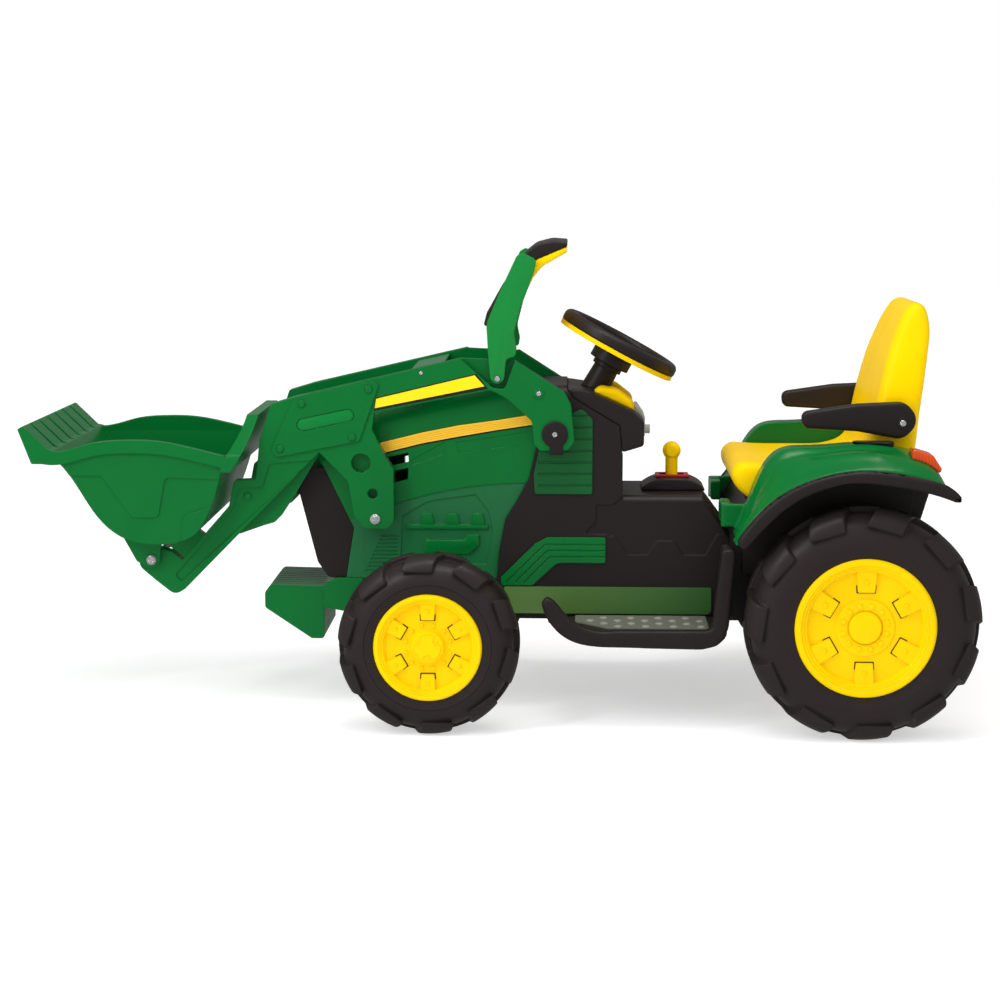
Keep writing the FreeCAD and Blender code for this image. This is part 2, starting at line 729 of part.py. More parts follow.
def steering_point(distance):
    """Point on the steering axis, this far below the wheel's centre."""
    return FreeCAD.Vector(steering_wheel_x, 0, steering_wheel_z) - steering_axis * distance


def steering_wheel():
    inner_edge = steering_rim_radius - steering_tube_radius
    outer_edge = steering_rim_radius + steering_tube_radius
    section = [(inner_edge, -ring_drop, 3), (outer_edge, -ring_drop, 3), (outer_edge, rim_top, 11),
               (inner_edge, rim_top, 11)]
    wire = rounded_wire(section, lambda p: FreeCAD.Vector(p.x, 0, p.y))
    rim_tube = Part.Face(wire).revolve(FreeCAD.Vector(0, 0, 0), Z_AXIS, 360)
    spokes = []
    for angle in (-90, 30, 150):
        spoke = Part.makeBox(steering_rim_radius - 4, 34, 10, FreeCAD.Vector(0, -17, -7))
        spokes.append(spoke.rotated(FreeCAD.Vector(0, 0, 0), Z_AXIS, angle))
    boss = Part.makeCylinder(37, 18, FreeCAD.Vector(0, 0, moving_gap - column_top))
    hub = boss.fuse(Part.makeCone(34, 30, 26, FreeCAD.Vector(0, 0, -20)))
    bore = Part.makeCylinder(steering_shaft_radius, column_top, FreeCAD.Vector(0, 0, -column_top))
    wheel = joined(rim_tube, *spokes, hub).cut(bore)
    inner = steering_rim_radius - 8
    outer = steering_rim_radius + steering_tube_radius - 1
    ring = Part.makeCylinder(outer, ring_height, FreeCAD.Vector(0, 0, -ring_height - ring_drop))
    ring = ring.cut(Part.makeCylinder(inner, 30, FreeCAD.Vector(0, 0, -20 - ring_drop)))
    ring = ring.cut(Part.makeCompound(spokes)).cut(hub)
    for name, shape in (("steering_wheel", wheel), ("steering_ring", ring)):
        placed = shape.copy()
        placed.rotate(FreeCAD.Vector(0, 0, 0), Y_AXIS, steering_tilt)
        placed.translate(FreeCAD.Vector(steering_wheel_x, 0, steering_wheel_z))
        nodes[name] = placed
    return nodes["steering_wheel"]


def gear_controls():
    """Console dome with a red plate and the yellow lever in its slot."""
    half = 40
    console_top = tunnel_top_z + console_height
    arch = [
        (lever_x - 55, tunnel_top_z + 4), (lever_x - 40, tunnel_top_z + 15), (lever_x - 18, console_top),
        (lever_x + 22, console_top), (lever_x + 44, tunnel_top_z + 15), (lever_x + 58, tunnel_top_z + 4),
    ]
    dome = band(arch, [(lever_x + 58, tunnel_top_z), (lever_x - 55, tunnel_top_z)], -half, half)
    dome = dome.common(block(-900, 900, -half, half, 0, console_top))
    slot = block(lever_x - 22, lever_x + 22, -lever_slot_half, lever_slot_half, tunnel_top_z - 1,
                 console_top + 10)
    trunnion_bore = cross_rod(lever_x, lever_pivot_z, 4 + running_gap, -lever_slot_half - 6,
                              lever_slot_half + 6)
    nodes["gear_console"] = dome.cut(slot).cut(trunnion_bore)
    red = plate([(lever_x - 29, console_top), (lever_x + 31, console_top), (lever_x + 31, console_top + 4, 2),
                 (lever_x - 29, console_top + 4, 2)], -20, 20)
    nodes["gear_plate"] = red.cut(slot)
    shaft = upright_rod(lever_x, 0, lever_radius, lever_pivot_z - 6, lever_ball_z)
    flat = 0.85 * lever_ball_radius
    shoulder = 0.6 * lever_ball_radius
    ball = turned([
        (0, -flat), (shoulder, -flat, 3), (lever_ball_radius, -flat / 2, 6), (lever_ball_radius, flat / 2, 6),
        (shoulder, flat, 3), (0, flat),
    ], lever_x, lever_ball_z)
    trunnion = cross_rod(lever_x, lever_pivot_z, 4, -lever_slot_half - 5, lever_slot_half + 5)
    nodes["gear_lever"] = joined(shaft, ball, trunnion)


# Footrests

def footrest():
    """Tray beside the body: floor, swept outer rail and a riser in front of the rear wheel."""
    low = footrest_floor_z - 12
    rail_inner = footrest_face - 22
    rear = body_rear_x
    floor = slab([
        (128, chassis_half), (126, 150, 30), (166, footrest_face, 40), (rear - 14, footrest_face, 6),
        (rear - 8, rear_half + 2), (rear - 12, chassis_half),
    ], low, footrest_floor_z)
    nose = band([(82, 222), (97, 186), (130, 157), (166, 147), (206, 145)],
                [(206, 175), (168, 176), (137, 190), (118, 208), (103, 226),
                 (90, 232)], rail_inner, footrest_face)
    rail = plate([
        (204, 145), (rear - 54, 142, 10), (rear - 23, 150, 24), (rear - 8, 180, 30), (rear - 4, 236, 30),
        (rear + 2, 316, 4), (rear - 22, 318, 4), (rear - 31, 236, 30), (rear - 36, 176, 12), (204, 175),
    ], rail_inner, footrest_face)
    riser = plate([(rear - 30, 160), (rear - 10, 160), (rear + 2, 312, 4), (rear - 20, 316, 4)],
                  rear_half + 2, rail_inner + 2)
    leg = slab([(88, chassis_half + 8, 6), (112, chassis_half + 8, 4), (184, rail_inner + 4),
                (172, footrest_face, 10),
                (128, footrest_face - 14, 30)], low, footrest_floor_z)
    return joined(floor, nose, rail, riser, leg)


def footrests():
    right = footrest()
    nodes["footrest_right"] = right
    nodes["footrest_left"] = mirrored(right)
    top = footrest_floor_z + trim_thickness
    tread = slab([(140, chassis_half + 14, 6), (body_rear_x - 40, chassis_half + 14, 6),
                  (body_rear_x - 40, footrest_face - 26, 6),
                  (196, footrest_face - 26, 6), (140, 160, 10)], footrest_floor_z, top)
    ears = []
    for y in (pedal_inner - 7, pedal_outer + 1):
        ear = plate([(pedal_hinge_x - 9, top - 1), (pedal_hinge_x + 9, top - 1),
                     (pedal_hinge_x + 9, pedal_hinge_z + 8, 7),
                     (pedal_hinge_x - 9, pedal_hinge_z + 8, 7)], y, y + 6)
        ears.append(ear)
    bore = cross_rod(pedal_hinge_x, pedal_hinge_z, 4 + running_gap, 0, 300)
    right_tread = joined(tread, *ears).cut(bore)
    nodes["tread_plates"] = Part.makeCompound([mirrored(tread), right_tread])
    pad = block(pedal_hinge_x - pedal_length, pedal_hinge_x, pedal_inner, pedal_outer, pedal_hinge_z - 3,
                pedal_hinge_z + 4)
    grip = []
    for index in range(6):
        x = pedal_hinge_x - pedal_length + 8 + 12 * index
        grip.append(block(x, x + 5, pedal_inner + 5, pedal_outer - 5, pedal_hinge_z + 4, pedal_hinge_z + 6))
    pin = cross_rod(pedal_hinge_x, pedal_hinge_z, 4, pedal_inner - 7, pedal_outer + 7)
    pedal = joined(pad, *grip)
    pedal.rotate(FreeCAD.Vector(pedal_hinge_x, 0, pedal_hinge_z), Y_AXIS, pedal_tilt)
    nodes["accelerator_pedal"] = joined(pedal, pin)


# Rear body, fenders and seat

def rear_body():
    """Open-bottomed box that carries the rear axle, fenders and seat, with a liner in each wheel arch."""
    front = body_rear_x
    outer = plate([
        (front, chassis_top_z), (front, seat_deck_z - 40, 6), (front + 26, seat_deck_z, 6),
        (rear_end_x - 20, seat_deck_z, 10),
        (rear_end_x, 360, 10), (rear_end_x, 240, 20), (rear_end_x - 40, 150), (front + 60, 150),
    ], -rear_half, rear_half)
    inner = plate([
        (front + shell_wall, 100), (front + shell_wall, seat_deck_z - 42),
        (front + 27, seat_deck_z - shell_wall),
        (rear_end_x - 24, seat_deck_z - shell_wall), (rear_end_x - shell_wall, 356),
        (rear_end_x - shell_wall, 100),
    ], -rear_half + shell_wall, rear_half - shell_wall)
    axle = cross_rod(rear_wheel_x, rear_axle_z, axle_radius + bore_gap, -200, 200)
    motor = cross_rod(motor_x, motor_z, motor_radius + bore_gap, -200, 200)
    shell = outer.cut(inner).cut(axle).cut(motor)
    ledge = plate(offset_points([(-196, 66), (-196, wall_foot), (77, wall_foot), (77, 66)], rear_wheel_x,
                                rear_axle_z),
                  rear_half - 1, liner_outer)
    liner = plate(offset_points([
        (-196, 66), (-196, wall_foot), (-152, 238, 10), (-118, 270, 10), (-14, 278, 60), (64, 270, 30),
        (100, 250, 10),
        (77, 66),
    ], rear_wheel_x, rear_axle_z), liner_outer - shell_wall, liner_outer)
    for piece in (ledge, liner):
        shell = shell.fuse(piece).fuse(mirrored(piece))
    nodes["rear_body"] = clear_of_tray(shell)


def fender_wire(points, y):
    """Closed band outline at y: the roof line out and back again one wall lower."""
    line = offset_points(points, rear_wheel_x, rear_axle_z)
    below = inset_line(line[::-1], fender_wall)[::-1]
    return band_wire(line, below[::-1], lambda p: FreeCAD.Vector(p.x, y, p.y))


def fender():
    """Curved mudguard: wall beside the seat, crest, a shallow valley and a bulging outer side."""
    crest = [(-213, 137), (-190, 192), (-164, 256), (-141, 281), (-80, 290), (-15, 295), (60, 289),
             (108, 272), (132, 238)]
    valley = [(-214, 136), (-191, 182), (-164, 238), (-137, 266), (-80, 282), (-15, 290), (60, 286),
              (108, 270), (132, 238)]
    bulge = [(-216, 136), (-190, 174), (-156, 216), (-120, 248), (-70, 270), (-15, 280), (60, 277),
             (108, 263), (131, 238)]
    outer = [(-218, 138), (-195, 172), (-165, 206), (-119, 236), (-61, 257), (-18, 263), (41, 260),
             (90, 251), (128, 238)]
    edge = fender_wire(crest, crest_outer)
    deck = Part.makeLoft([fender_wire(crest, rear_half), edge], True, True)
    flank = Part.makeLoft([
        edge, fender_wire(valley, crest_outer + 22), fender_wire(bulge,
                                                                 crest_outer + 54), fender_wire(outer,
                                                                                                fender_face),
    ], True, False)
    foot = [(104, wall_foot), (-200, wall_foot)]
    wall_line = inset_line(crest[:0:-1], fender_wall / 2)[::-1]
    wall_outer = liner_outer - shell_wall - close_gap
    wall = band(offset_points(wall_line, rear_wheel_x, rear_axle_z),
                offset_points(foot, rear_wheel_x, rear_axle_z), rear_half, wall_outer)
    bracket = plate([
        (body_rear_x - 20, seat_deck_z - 36, 4), (body_rear_x - 20, seat_deck_z, 4),
        (body_rear_x - 1, seat_deck_z, 3),
        (body_rear_x - 1, seat_deck_z - 36, 3),
    ], body_half + 2, rear_half + 4)
    tongue = plate([
        (body_rear_x - 20, wall_foot + rear_axle_z), (body_rear_x - 20, seat_deck_z),
        (body_rear_x + 24, seat_deck_z),
        (body_rear_x + 24, wall_foot + rear_axle_z),
    ], rear_half, wall_outer)
    cup = upright_rod(body_rear_x - 10, rear_half - 24, 7, seat_deck_z - 24, seat_deck_z + 1)
    return joined(deck, flank, wall, bracket, tongue).cut(cup)


def fender_fittings(guard):
    """Black flare along the edge, tail light and pad on the crest of one fender."""
    top = [(-217, 142), (-190, 180), (-150, 218), (-105, 243), (-61, 257), (-18, 263), (41, 260),
           (95, 250), (135, 236),
           (154, 216)]
    under = [(146, 211), (90, 229), (40, 238), (-19, 243), (-63, 236), (-118, 212), (-171, 166), (-203, 129)]
    flare = band(offset_points(top, rear_wheel_x, rear_axle_z), offset_points(under, rear_wheel_x,
                                                                              rear_axle_z),
                 fender_face, rear_wheel_face - 2)
    light = plate(offset_points([(76, 262), (78, 294, 4), (112, 284, 12), (129, 258, 6), (112, 246)],
                                rear_wheel_x, rear_axle_z), crest_outer + 6, crest_outer + 48)
    lens = max(light.cut(guard).Solids, key=lambda solid: solid.CenterOfMass.z)
    pad = slab(offset_points([(-14, rear_half + 12, 11), (56, rear_half + 12, 11), (56, rear_half + 36, 11),
                              (-14, rear_half + 36, 11)], rear_wheel_x, 0), rear_axle_z + 284,
                              rear_axle_z + 299)
    top_pad = max(pad.cut(guard).Solids, key=lambda solid: solid.CenterOfMass.z)
    return flare, lens, top_pad


def fenders():
    right = fender()
    nodes["fender_right"] = right
    nodes["fender_left"] = mirrored(right)
    flare, lens, pad = fender_fittings(right)
    nodes["fender_flares"] = pair(flare)
    nodes["tail_lights"] = pair(lens)
    nodes["fender_pads"] = pair(pad)


def seat_side(inset):
    """Side outline of the seat moulding, or of its hollow."""
    if inset == 0:
        return [(441, seat_deck_z), (414, 412, 20), (405, 436, 14), (422, 456, 16), (470, 452, 100),
                (590, 452, 60),
                (640, 466, 34), (651, 540, 200), (671, 630, 300), (692, 688, 90), (714, 729, 22),
                (741, 726, 12),
                (749, 682, 50), (730, 546, 200), (716, seat_deck_z)]
    return [(447, seat_deck_z - 1), (420, 414, 14), (412, 436, 8), (424, 449, 10), (470, 445, 90),
            (592, 445, 60),
            (647, 462, 28), (658, 540, 200), (678, 629, 300), (699, 686, 80), (718, 722, 16), (736, 720, 8),
            (742, 682, 44), (723, 546, 200), (709, seat_deck_z - 1)]


def seat_front(inset):
    """Front outline of the seat: full width at the pan, narrower towards the rounded top."""
    half = seat_half - inset
    top = 737 - inset
    shoulder = 0.80 * half
    return [(-half, 300), (half, 300), (half, 560, 60), (shoulder, 690, 60), (0.66 * half, top, 40),
            (-0.66 * half, top, 40), (-shoulder, 690, 60), (-half, 560, 60)]


def seat():
    """One-piece moulded seat: pan, back and skirt, open underneath."""
    side = offset_points(seat_side(0), rear_wheel_x - 623, 0)
    hollow_side = offset_points(seat_side(seat_wall), rear_wheel_x - 623, 0)
    outer = plate(side, -200, 200).common(front_slab(seat_front(0), 300, 900))
    inner = plate(hollow_side, -200, 200).common(front_slab(seat_front(seat_wall), 300, 900))
    bolts = cross_rod(armrest_x, armrest_z, bolt_radius + bore_gap, -200, 200)
    nodes["seat"] = outer.cut(inner).cut(bolts)


def armrests():
    arm = plate([
        (armrest_x - 171, armrest_z + 2, 8), (armrest_x - 160, armrest_z + 20, 8),
        (armrest_x - 76, armrest_z + 32, 60),
        (armrest_x + 4, armrest_z + 36, 26), (armrest_x + 32, armrest_z + 4, 26),
        (armrest_x + 2, armrest_z - 29, 26),
        (armrest_x - 75, armrest_z - 15, 60), (armrest_x - 165, armrest_z - 10, 8),
    ], armrest_inner, armrest_outer)
    bore = cross_rod(armrest_x, armrest_z, bolt_radius + running_gap, 0, 300)
    arm = arm.cut(bore)
    nodes["armrest_right"] = arm
    nodes["armrest_left"] = mirrored(arm)
    shank = cross_rod(armrest_x, armrest_z, bolt_radius, seat_half - seat_wall, armrest_outer + close_gap)
    head = cross_rod(armrest_x, armrest_z, bolt_radius + 4, armrest_outer + close_gap, armrest_outer + 4)
    nodes["armrest_bolts"] = pair(joined(shank, head))


# Loader

def loader_arm():
    """Right-hand arm: beam, elbow, knee, lower arm and mast in one moulding."""
    whole = [
        (-391, 550, 3), (-345, 564, 20), (-62, 630, 6), (34, 626, 6), (120, 571, 16), (131, 550, 12),
        (137, 486, 12),
        (126, 472, 6), (78, 470, 6), (68, 480, 6), (63, 522, 12), (20, 561, 12), (-8, 576, 12), (-211, 536),
        (-215, 505, 4), (-188, 450, 10), (-178, 436, 10), (-178, 344, 10), (-188, 331, 10), (-231, 331, 10),
        (-247, 352, 14), (-258, 415, 6), (-308, 466), (-549, 221, 12), (-567, 210, 16), (-600, 236),
        (-630, 262, 16),
        (-622, 301, 16), (-571, 288), (-553, 273), (-468, 370, 8), (-459, 415, 6), (-420, 417, 4),
        (-412, 487, 3),
    ]
    arm = plate(move_with_loader(whole), arm_inner, arm_outer)
    channel = move_with_loader([
        (-330, 548), (-211, 575), (-10, 586), (16, 586), (60, 552), (78, 536), (108, 560), (118, 590),
        (34, 660),
        (-62, 660), (-340, 596),
    ])
    arm = arm.cut(plate(channel, arm_inner + arm_wall, arm_outer - arm_wall))
    notch = move_with_loader([(-62, 631), (-5, 580, 6), (16, 577, 8), (34, 627), (34, 680), (-62, 680)])
    arm = arm.cut(plate(notch, arm_inner + arm_wall, arm_outer + 1))
    panel = move_with_loader([
        (-320, 452), (-396, 445, 6), (-408, 404, 8), (-450, 402, 6), (-460, 366, 10), (-566, 246, 5),
        (-556, 234, 5),
    ])
    arm = arm.cut(plate(panel, arm_outer - 2, arm_outer + 1))
    knee = move_with_loader([
        (-349, 563, 3), (-211, 592, 4), (-202, 584, 4), (-237, 486, 6), (-381, 457, 8), (-393, 468, 8),
    ])
    slot = move_with_loader(obround(-335, 514, -257, 531, 11))
    raised = plate(knee, arm_outer - 1, arm_outer + trim_thickness)
    raised = raised.cut(plate(slot, arm_outer + 1, arm_outer + 10))
    gusset = plate(move_with_loader([
        (-464, 326), (-452, 318), (-410, 333, 10), (-390, 339, 10), (-377, 352, 10), (-352, 390, 10),
        (-308, 464),
        (-316, 476),
    ]), arm_inner, arm_inner + 8)
    ledge_low = mast_stop_z + close_gap
    ledge = block(mast_foot_x - 14, mast_foot_x + 14, hood_half + 2, arm_inner + 1, ledge_low, ledge_low + 10)
    pin = cross_rod(handle_x, handle_z, handle_pin_radius, arm_inner + 1, upright_outer + 1)
    arm = joined(arm, raised, gusset, ledge, pin)
    holes = [
        cross_rod(loader_pivot_x, loader_pivot_z, loader_pin_radius + running_gap, arm_inner - 1,
                  arm_outer + 1),
        cross_rod(bucket_x, bucket_z, bucket_pin_radius + bore_gap, arm_inner - 1, arm_outer + 1),
        cross_rod(loader_pivot_x - 338, loader_pivot_z - 52, 17, arm_outer - 14, arm_outer + 1),
        cross_rod(loader_pivot_x - 318, loader_pivot_z - 106, 9, arm_outer - 14, arm_outer + 1),
    ]
    return arm.cut(Part.makeCompound(holes))


def move_with_loader(points):
    """Arm outlines are drawn about the nominal elbow pivot and follow it."""
    return offset_points(points, loader_pivot_x - 103, loader_pivot_z - 499)


def loader():
    right = loader_arm()
    nodes["loader_arm_right"] = right
    nodes["loader_arm_left"] = mirrored(right)
    bridge = plate(move_with_loader([(-150, 601), (-92, 614, 2), (-92, 620, 2), (-150, 607, 2)]),
                   -arm_inner, arm_inner)
    nodes["loader_cross_plate"] = bridge
    nodes["loader_cross_tube"] = cross_rod(loader_pivot_x - 539, loader_pivot_z - 113, 11, -arm_inner,
                                           arm_inner)
    nodes["loader_pivot_rod"] = cross_rod(loader_pivot_x, loader_pivot_z, loader_pin_radius,
                                          -arm_outer, arm_outer)
    cap = joined(cross_rod(loader_pivot_x, loader_pivot_z, 23, arm_outer, arm_outer + 4),
                 block(loader_pivot_x - 9, loader_pivot_x + 14, arm_outer, arm_outer + 4, loader_pivot_z - 36,
                       loader_pivot_z))
    nodes["loader_pivot_caps"] = pair(cap)
    rod = cross_rod(bucket_x, bucket_z, bucket_pin_radius, -ear_outer - close_gap, ear_outer + close_gap)
    heads = [cross_rod(bucket_x, bucket_z, bucket_pin_radius + 3, ear_outer + close_gap, ear_outer + 4)]
    heads.append(mirrored(heads[0]))
    nodes["bucket_rod"] = joined(rod, *heads)


def handle_outline(points):
    return offset_points(points, handle_x - 3, handle_z - 595)


def loader_handle():
    """Two uprights joined at the top by a grip of two shells."""
    upright = plate(handle_outline([
        (-9, 595, 9), (-13, 640, 30), (-16, 690, 40), (6, 742, 60), (36, 806, 8), (46, 812, 6), (70, 800, 8),
        (66, 778, 30), (42, 715, 40), (31, 672, 30), (36, 648, 10), (34, 634, 6), (18, 630, 10),
        (15, 595, 11),
        (3, 582, 10),
    ]), upright_inner, upright_outer)
    bore = cross_rod(handle_x, handle_z, handle_pin_radius + running_gap, 0, 300)
    nodes["handle_uprights"] = pair(upright.cut(bore))
    split = [(10, 690, 4), (36, 748, 60), (66, 798, 30), (123, 822)]
    black = [(-22, 684, 4), (-16, 708, 20), (12, 758, 80), (50, 810, 40), (68, 824, 30), (96, 831, 30),
             (123, 829, 3)]
    yellow = [(122, 812, 4), (80, 788, 20), (64, 768, 30), (52, 742, 40), (22, 686, 6)]
    nodes["handle_grip"] = plate(handle_outline(black + split[::-1]), -upright_inner, upright_inner)
    nodes["handle_grip_under"] = plate(handle_outline(split + yellow), -upright_inner, upright_inner)


def bucket_outline(points):
    return offset_points(points, bucket_x + 605, bucket_z - 275)


def bucket_draft(inset):
    """Front view of the scoop: the sides lean in towards the floor."""
    half = bucket_half - bucket_lip - inset
    low = bucket_z - 20
    return front_slab([
        (-half + 18, low), (half - 18, low), (half, bucket_z + 190), (half, bucket_z + 320),
        (-half, bucket_z + 320),
        (-half, bucket_z + 190),
    ], bucket_x - 300, bucket_x + 300)


def bucket():
    """Scoop with a curved floor, drawn-out lip, upward teeth, a rear guard and two ears below."""
    floor = [(-752, 452), (-716, 398), (-677, 341), (-640, 316), (-600, 308), (-556, 311), (-522, 326),
             (-499, 358),
             (-481, 405), (-468, 446)]
    rim_upper = [(-780, 474), (-746, 474), (-692, 488), (-639, 493), (-586, 492), (-520, 480), (-464, 466)]
    rim_lower = [(-780, 451), (-744, 451), (-692, 465), (-639, 470), (-586, 469), (-520, 458), (-459, 443)]
    half = bucket_half - bucket_lip
    under_lip = offset_points(rim_upper[:0:-1], 0, -8)
    body = band(bucket_outline(floor), bucket_outline(under_lip), -half, half).common(bucket_draft(0))
    inner_floor = [(-768, 486)] + inset_line(floor, bucket_wall)
    cavity = band(bucket_outline(inner_floor), bucket_outline([(-472, 600), (-768, 600)]), -half, half)
    cavity = cavity.common(bucket_draft(bucket_wall))
    lip = band(bucket_outline(rim_upper), bucket_outline(rim_lower[::-1]), half - bucket_wall, bucket_half)
    guard_inner = [(-474, 438), (-457, 474), (-443, 503), (-435, 530)]
    guard_rear = [(-415, 530), (-422, 503), (-434, 472), (-454, 438)]
    guard = band(bucket_outline(guard_inner), bucket_outline(guard_rear), -bucket_half, bucket_half)
    guard = guard.common(guard_front())
    shell = joined(body, lip, mirrored(lip), guard, *bucket_panels(floor, under_lip))
    tooth = bucket_outline([(-821, 511), (-812, 517, 4), (-770, 476), (-744, 470), (-744, 451),
                            (-799, 451, 4)])
    comb = plate(tooth, -bucket_half, bucket_half)
    pitch = (2 * bucket_half + tooth_gap) / tooth_count
    gaps = []
    for index in range(1, tooth_count):
        y = -bucket_half - tooth_gap / 2 + index * pitch
        gaps.append(plate(bucket_outline([(-840, 560), (-764, 560), (-764, 470), (-790, 462), (-840, 470)]),
                          y - tooth_gap / 2, y + tooth_gap / 2))
    comb = comb.cut(Part.makeCompound(gaps))
    ear = plate(bucket_outline([(-662, 330), (-631, 272, 12), (-606, 259, 14), (-591, 268, 12), (-587, 318)]),
                ear_inner, ear_outer)
    bore = cross_rod(bucket_x, bucket_z, bucket_pin_radius + running_gap, -300, 300)
    nodes["bucket"] = joined(shell, comb, ear, mirrored(ear)).cut(cavity).cut(bore)


def guard_front():
    """Front view of the rear guard: full width at the rim, narrower at the top."""
    top = 0.62 * bucket_half
    shoulder = bucket_z + 190
    return front_slab([
        (-bucket_half, bucket_z + 150), (bucket_half, bucket_z + 150), (bucket_half, shoulder, 16),
        (top, bucket_z + 255, 10), (-top, bucket_z + 255, 10), (-bucket_half, shoulder, 16),
    ], bucket_x, bucket_x + 300)


def bucket_panels(floor, under_lip):
    """Raised panels on both sides of the scoop: a flap under the rim and one at the lower back."""
    room = band(bucket_outline(floor), bucket_outline(under_lip), 0, bucket_half)
    room = room.common(bucket_draft(-bucket_emboss))
    flap = [(-780, 430), (-680, 430, 8), (-630, 356, 8), (-584, 356, 10), (-569, 428, 10), (-440, 423),
            (-440, 500), (-780, 500)]
    rear = [(-545, 290), (-543, 352, 8), (-535, 361, 4), (-440, 395), (-440, 290)]
    panels = []
    for outline in (flap, rear):
        panel = room.common(plate(bucket_outline(outline), bucket_half / 2, bucket_half))
        panels += [panel, mirrored(panel)]
    return panels


# Lines that two neighbouring pieces share
bumper_rear_x = -238.0
hood_bottom_rear_x = 2.0
sleeve_radius = 14.0
sleeve_low = front_axle_z - 30
sleeve_high = front_axle_z + 30
tie_pin_radius = 5.0
crank_pin_radius = 5.0
link_slack = 0.9
ring_drop = 4.0
mast_foot_x = loader_pivot_x - 314
mast_stop_z = loader_pivot_z - 156
mast_stop_radius = 6.0
crest_outer = rear_half + 40
liner_outer = rear_half + 16
fender_wall = 6.0
wall_foot = 147.0
chassis_top_z = chassis_floor_z + chassis_wall_height
well_front_x = 150.0
well_rear_x = rear_wheel_x - 63
well_half = chassis_half - 14
well_depth = 4.0
motor_x = rear_wheel_x - 62
motor_z = rear_axle_z + 12
motor_radius = 19.0
column_top = 38.0
rim_top = 17.0
ring_height = 8.0
pedal_inner = chassis_half + 32
pedal_outer = pedal_inner + 66
pedal_hinge_z = footrest_floor_z + trim_thickness + 9
grille_line = [(-330, 640), (-330, 470), (-304, 433), (-252, 326), (-267, hood_bottom_z)]
hood_rear_line = [(6, 287), (17, 344), (40, 382), (58, 416), (72, 478), (76, 640)]
dash_line = [(124, 576), (134, 559), (216, 510)]
hood_stations = [
    (-340, hood_half - 6, 456, 40), (-205, hood_half, 536, 38), (20, hood_half, 586, 36),
    (90, hood_half, 582, 36),
]
tower_top_z = 580.0
tower_rear_x = 222.0

wheels()
chassis()
front_axle()
steering_gear()
rear_drive()
hood()
front_grille()
front_weights()
mid_body()
dashboard()
steering_wheel()
gear_controls()
footrests()
rear_body()
fenders()
seat()
armrests()
loader()
loader_handle()
bucket()

for name, shape in nodes.items():
    shape.exportStep("parts/" + name + ".step")
print(len(nodes), "nodes")
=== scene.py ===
import json
import math

import bmesh
import bpy
from mathutils import Matrix, Vector

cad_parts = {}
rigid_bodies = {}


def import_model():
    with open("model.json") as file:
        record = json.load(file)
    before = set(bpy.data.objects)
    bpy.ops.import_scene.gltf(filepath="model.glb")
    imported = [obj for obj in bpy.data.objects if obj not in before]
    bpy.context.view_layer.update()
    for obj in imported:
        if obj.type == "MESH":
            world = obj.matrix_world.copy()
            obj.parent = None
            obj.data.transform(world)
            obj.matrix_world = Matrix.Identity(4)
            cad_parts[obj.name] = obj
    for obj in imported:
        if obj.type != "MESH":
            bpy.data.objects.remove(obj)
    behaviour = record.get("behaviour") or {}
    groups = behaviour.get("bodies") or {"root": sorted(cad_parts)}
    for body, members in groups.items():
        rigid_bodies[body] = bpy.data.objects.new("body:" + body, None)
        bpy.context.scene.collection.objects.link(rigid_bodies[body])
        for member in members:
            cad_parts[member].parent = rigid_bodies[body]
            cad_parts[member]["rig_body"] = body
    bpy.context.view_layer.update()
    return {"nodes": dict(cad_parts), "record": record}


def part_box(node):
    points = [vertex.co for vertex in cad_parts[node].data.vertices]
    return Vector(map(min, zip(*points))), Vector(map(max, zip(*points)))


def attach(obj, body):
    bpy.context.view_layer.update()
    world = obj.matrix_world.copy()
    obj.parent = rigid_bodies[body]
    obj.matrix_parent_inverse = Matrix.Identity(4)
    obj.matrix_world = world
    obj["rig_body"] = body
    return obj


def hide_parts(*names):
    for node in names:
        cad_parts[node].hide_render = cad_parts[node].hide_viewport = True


bl_info = {
    "name": "Ride-on tractor toy looks",
    "version": (1, 1, 0),
    "blender": (4, 5, 0),
    "location": "View3D > Sidebar > Tractor",
    "description": "Materials, trim pieces and studio for a ride-on tractor toy with a front loader",
    "category": "Object",
}

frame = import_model()

MM = 0.001
MIDDLE_PLANE = Matrix.Diagonal((1, -1, 1, 1))
SIDES = ("left", "right")
MERGE_DISTANCE = 1e-6
LEVEL_TOLERANCE = 1e-7
SHADING_ANGLE = math.radians(35)
EDGE_SEGMENTS = 3


# Settings

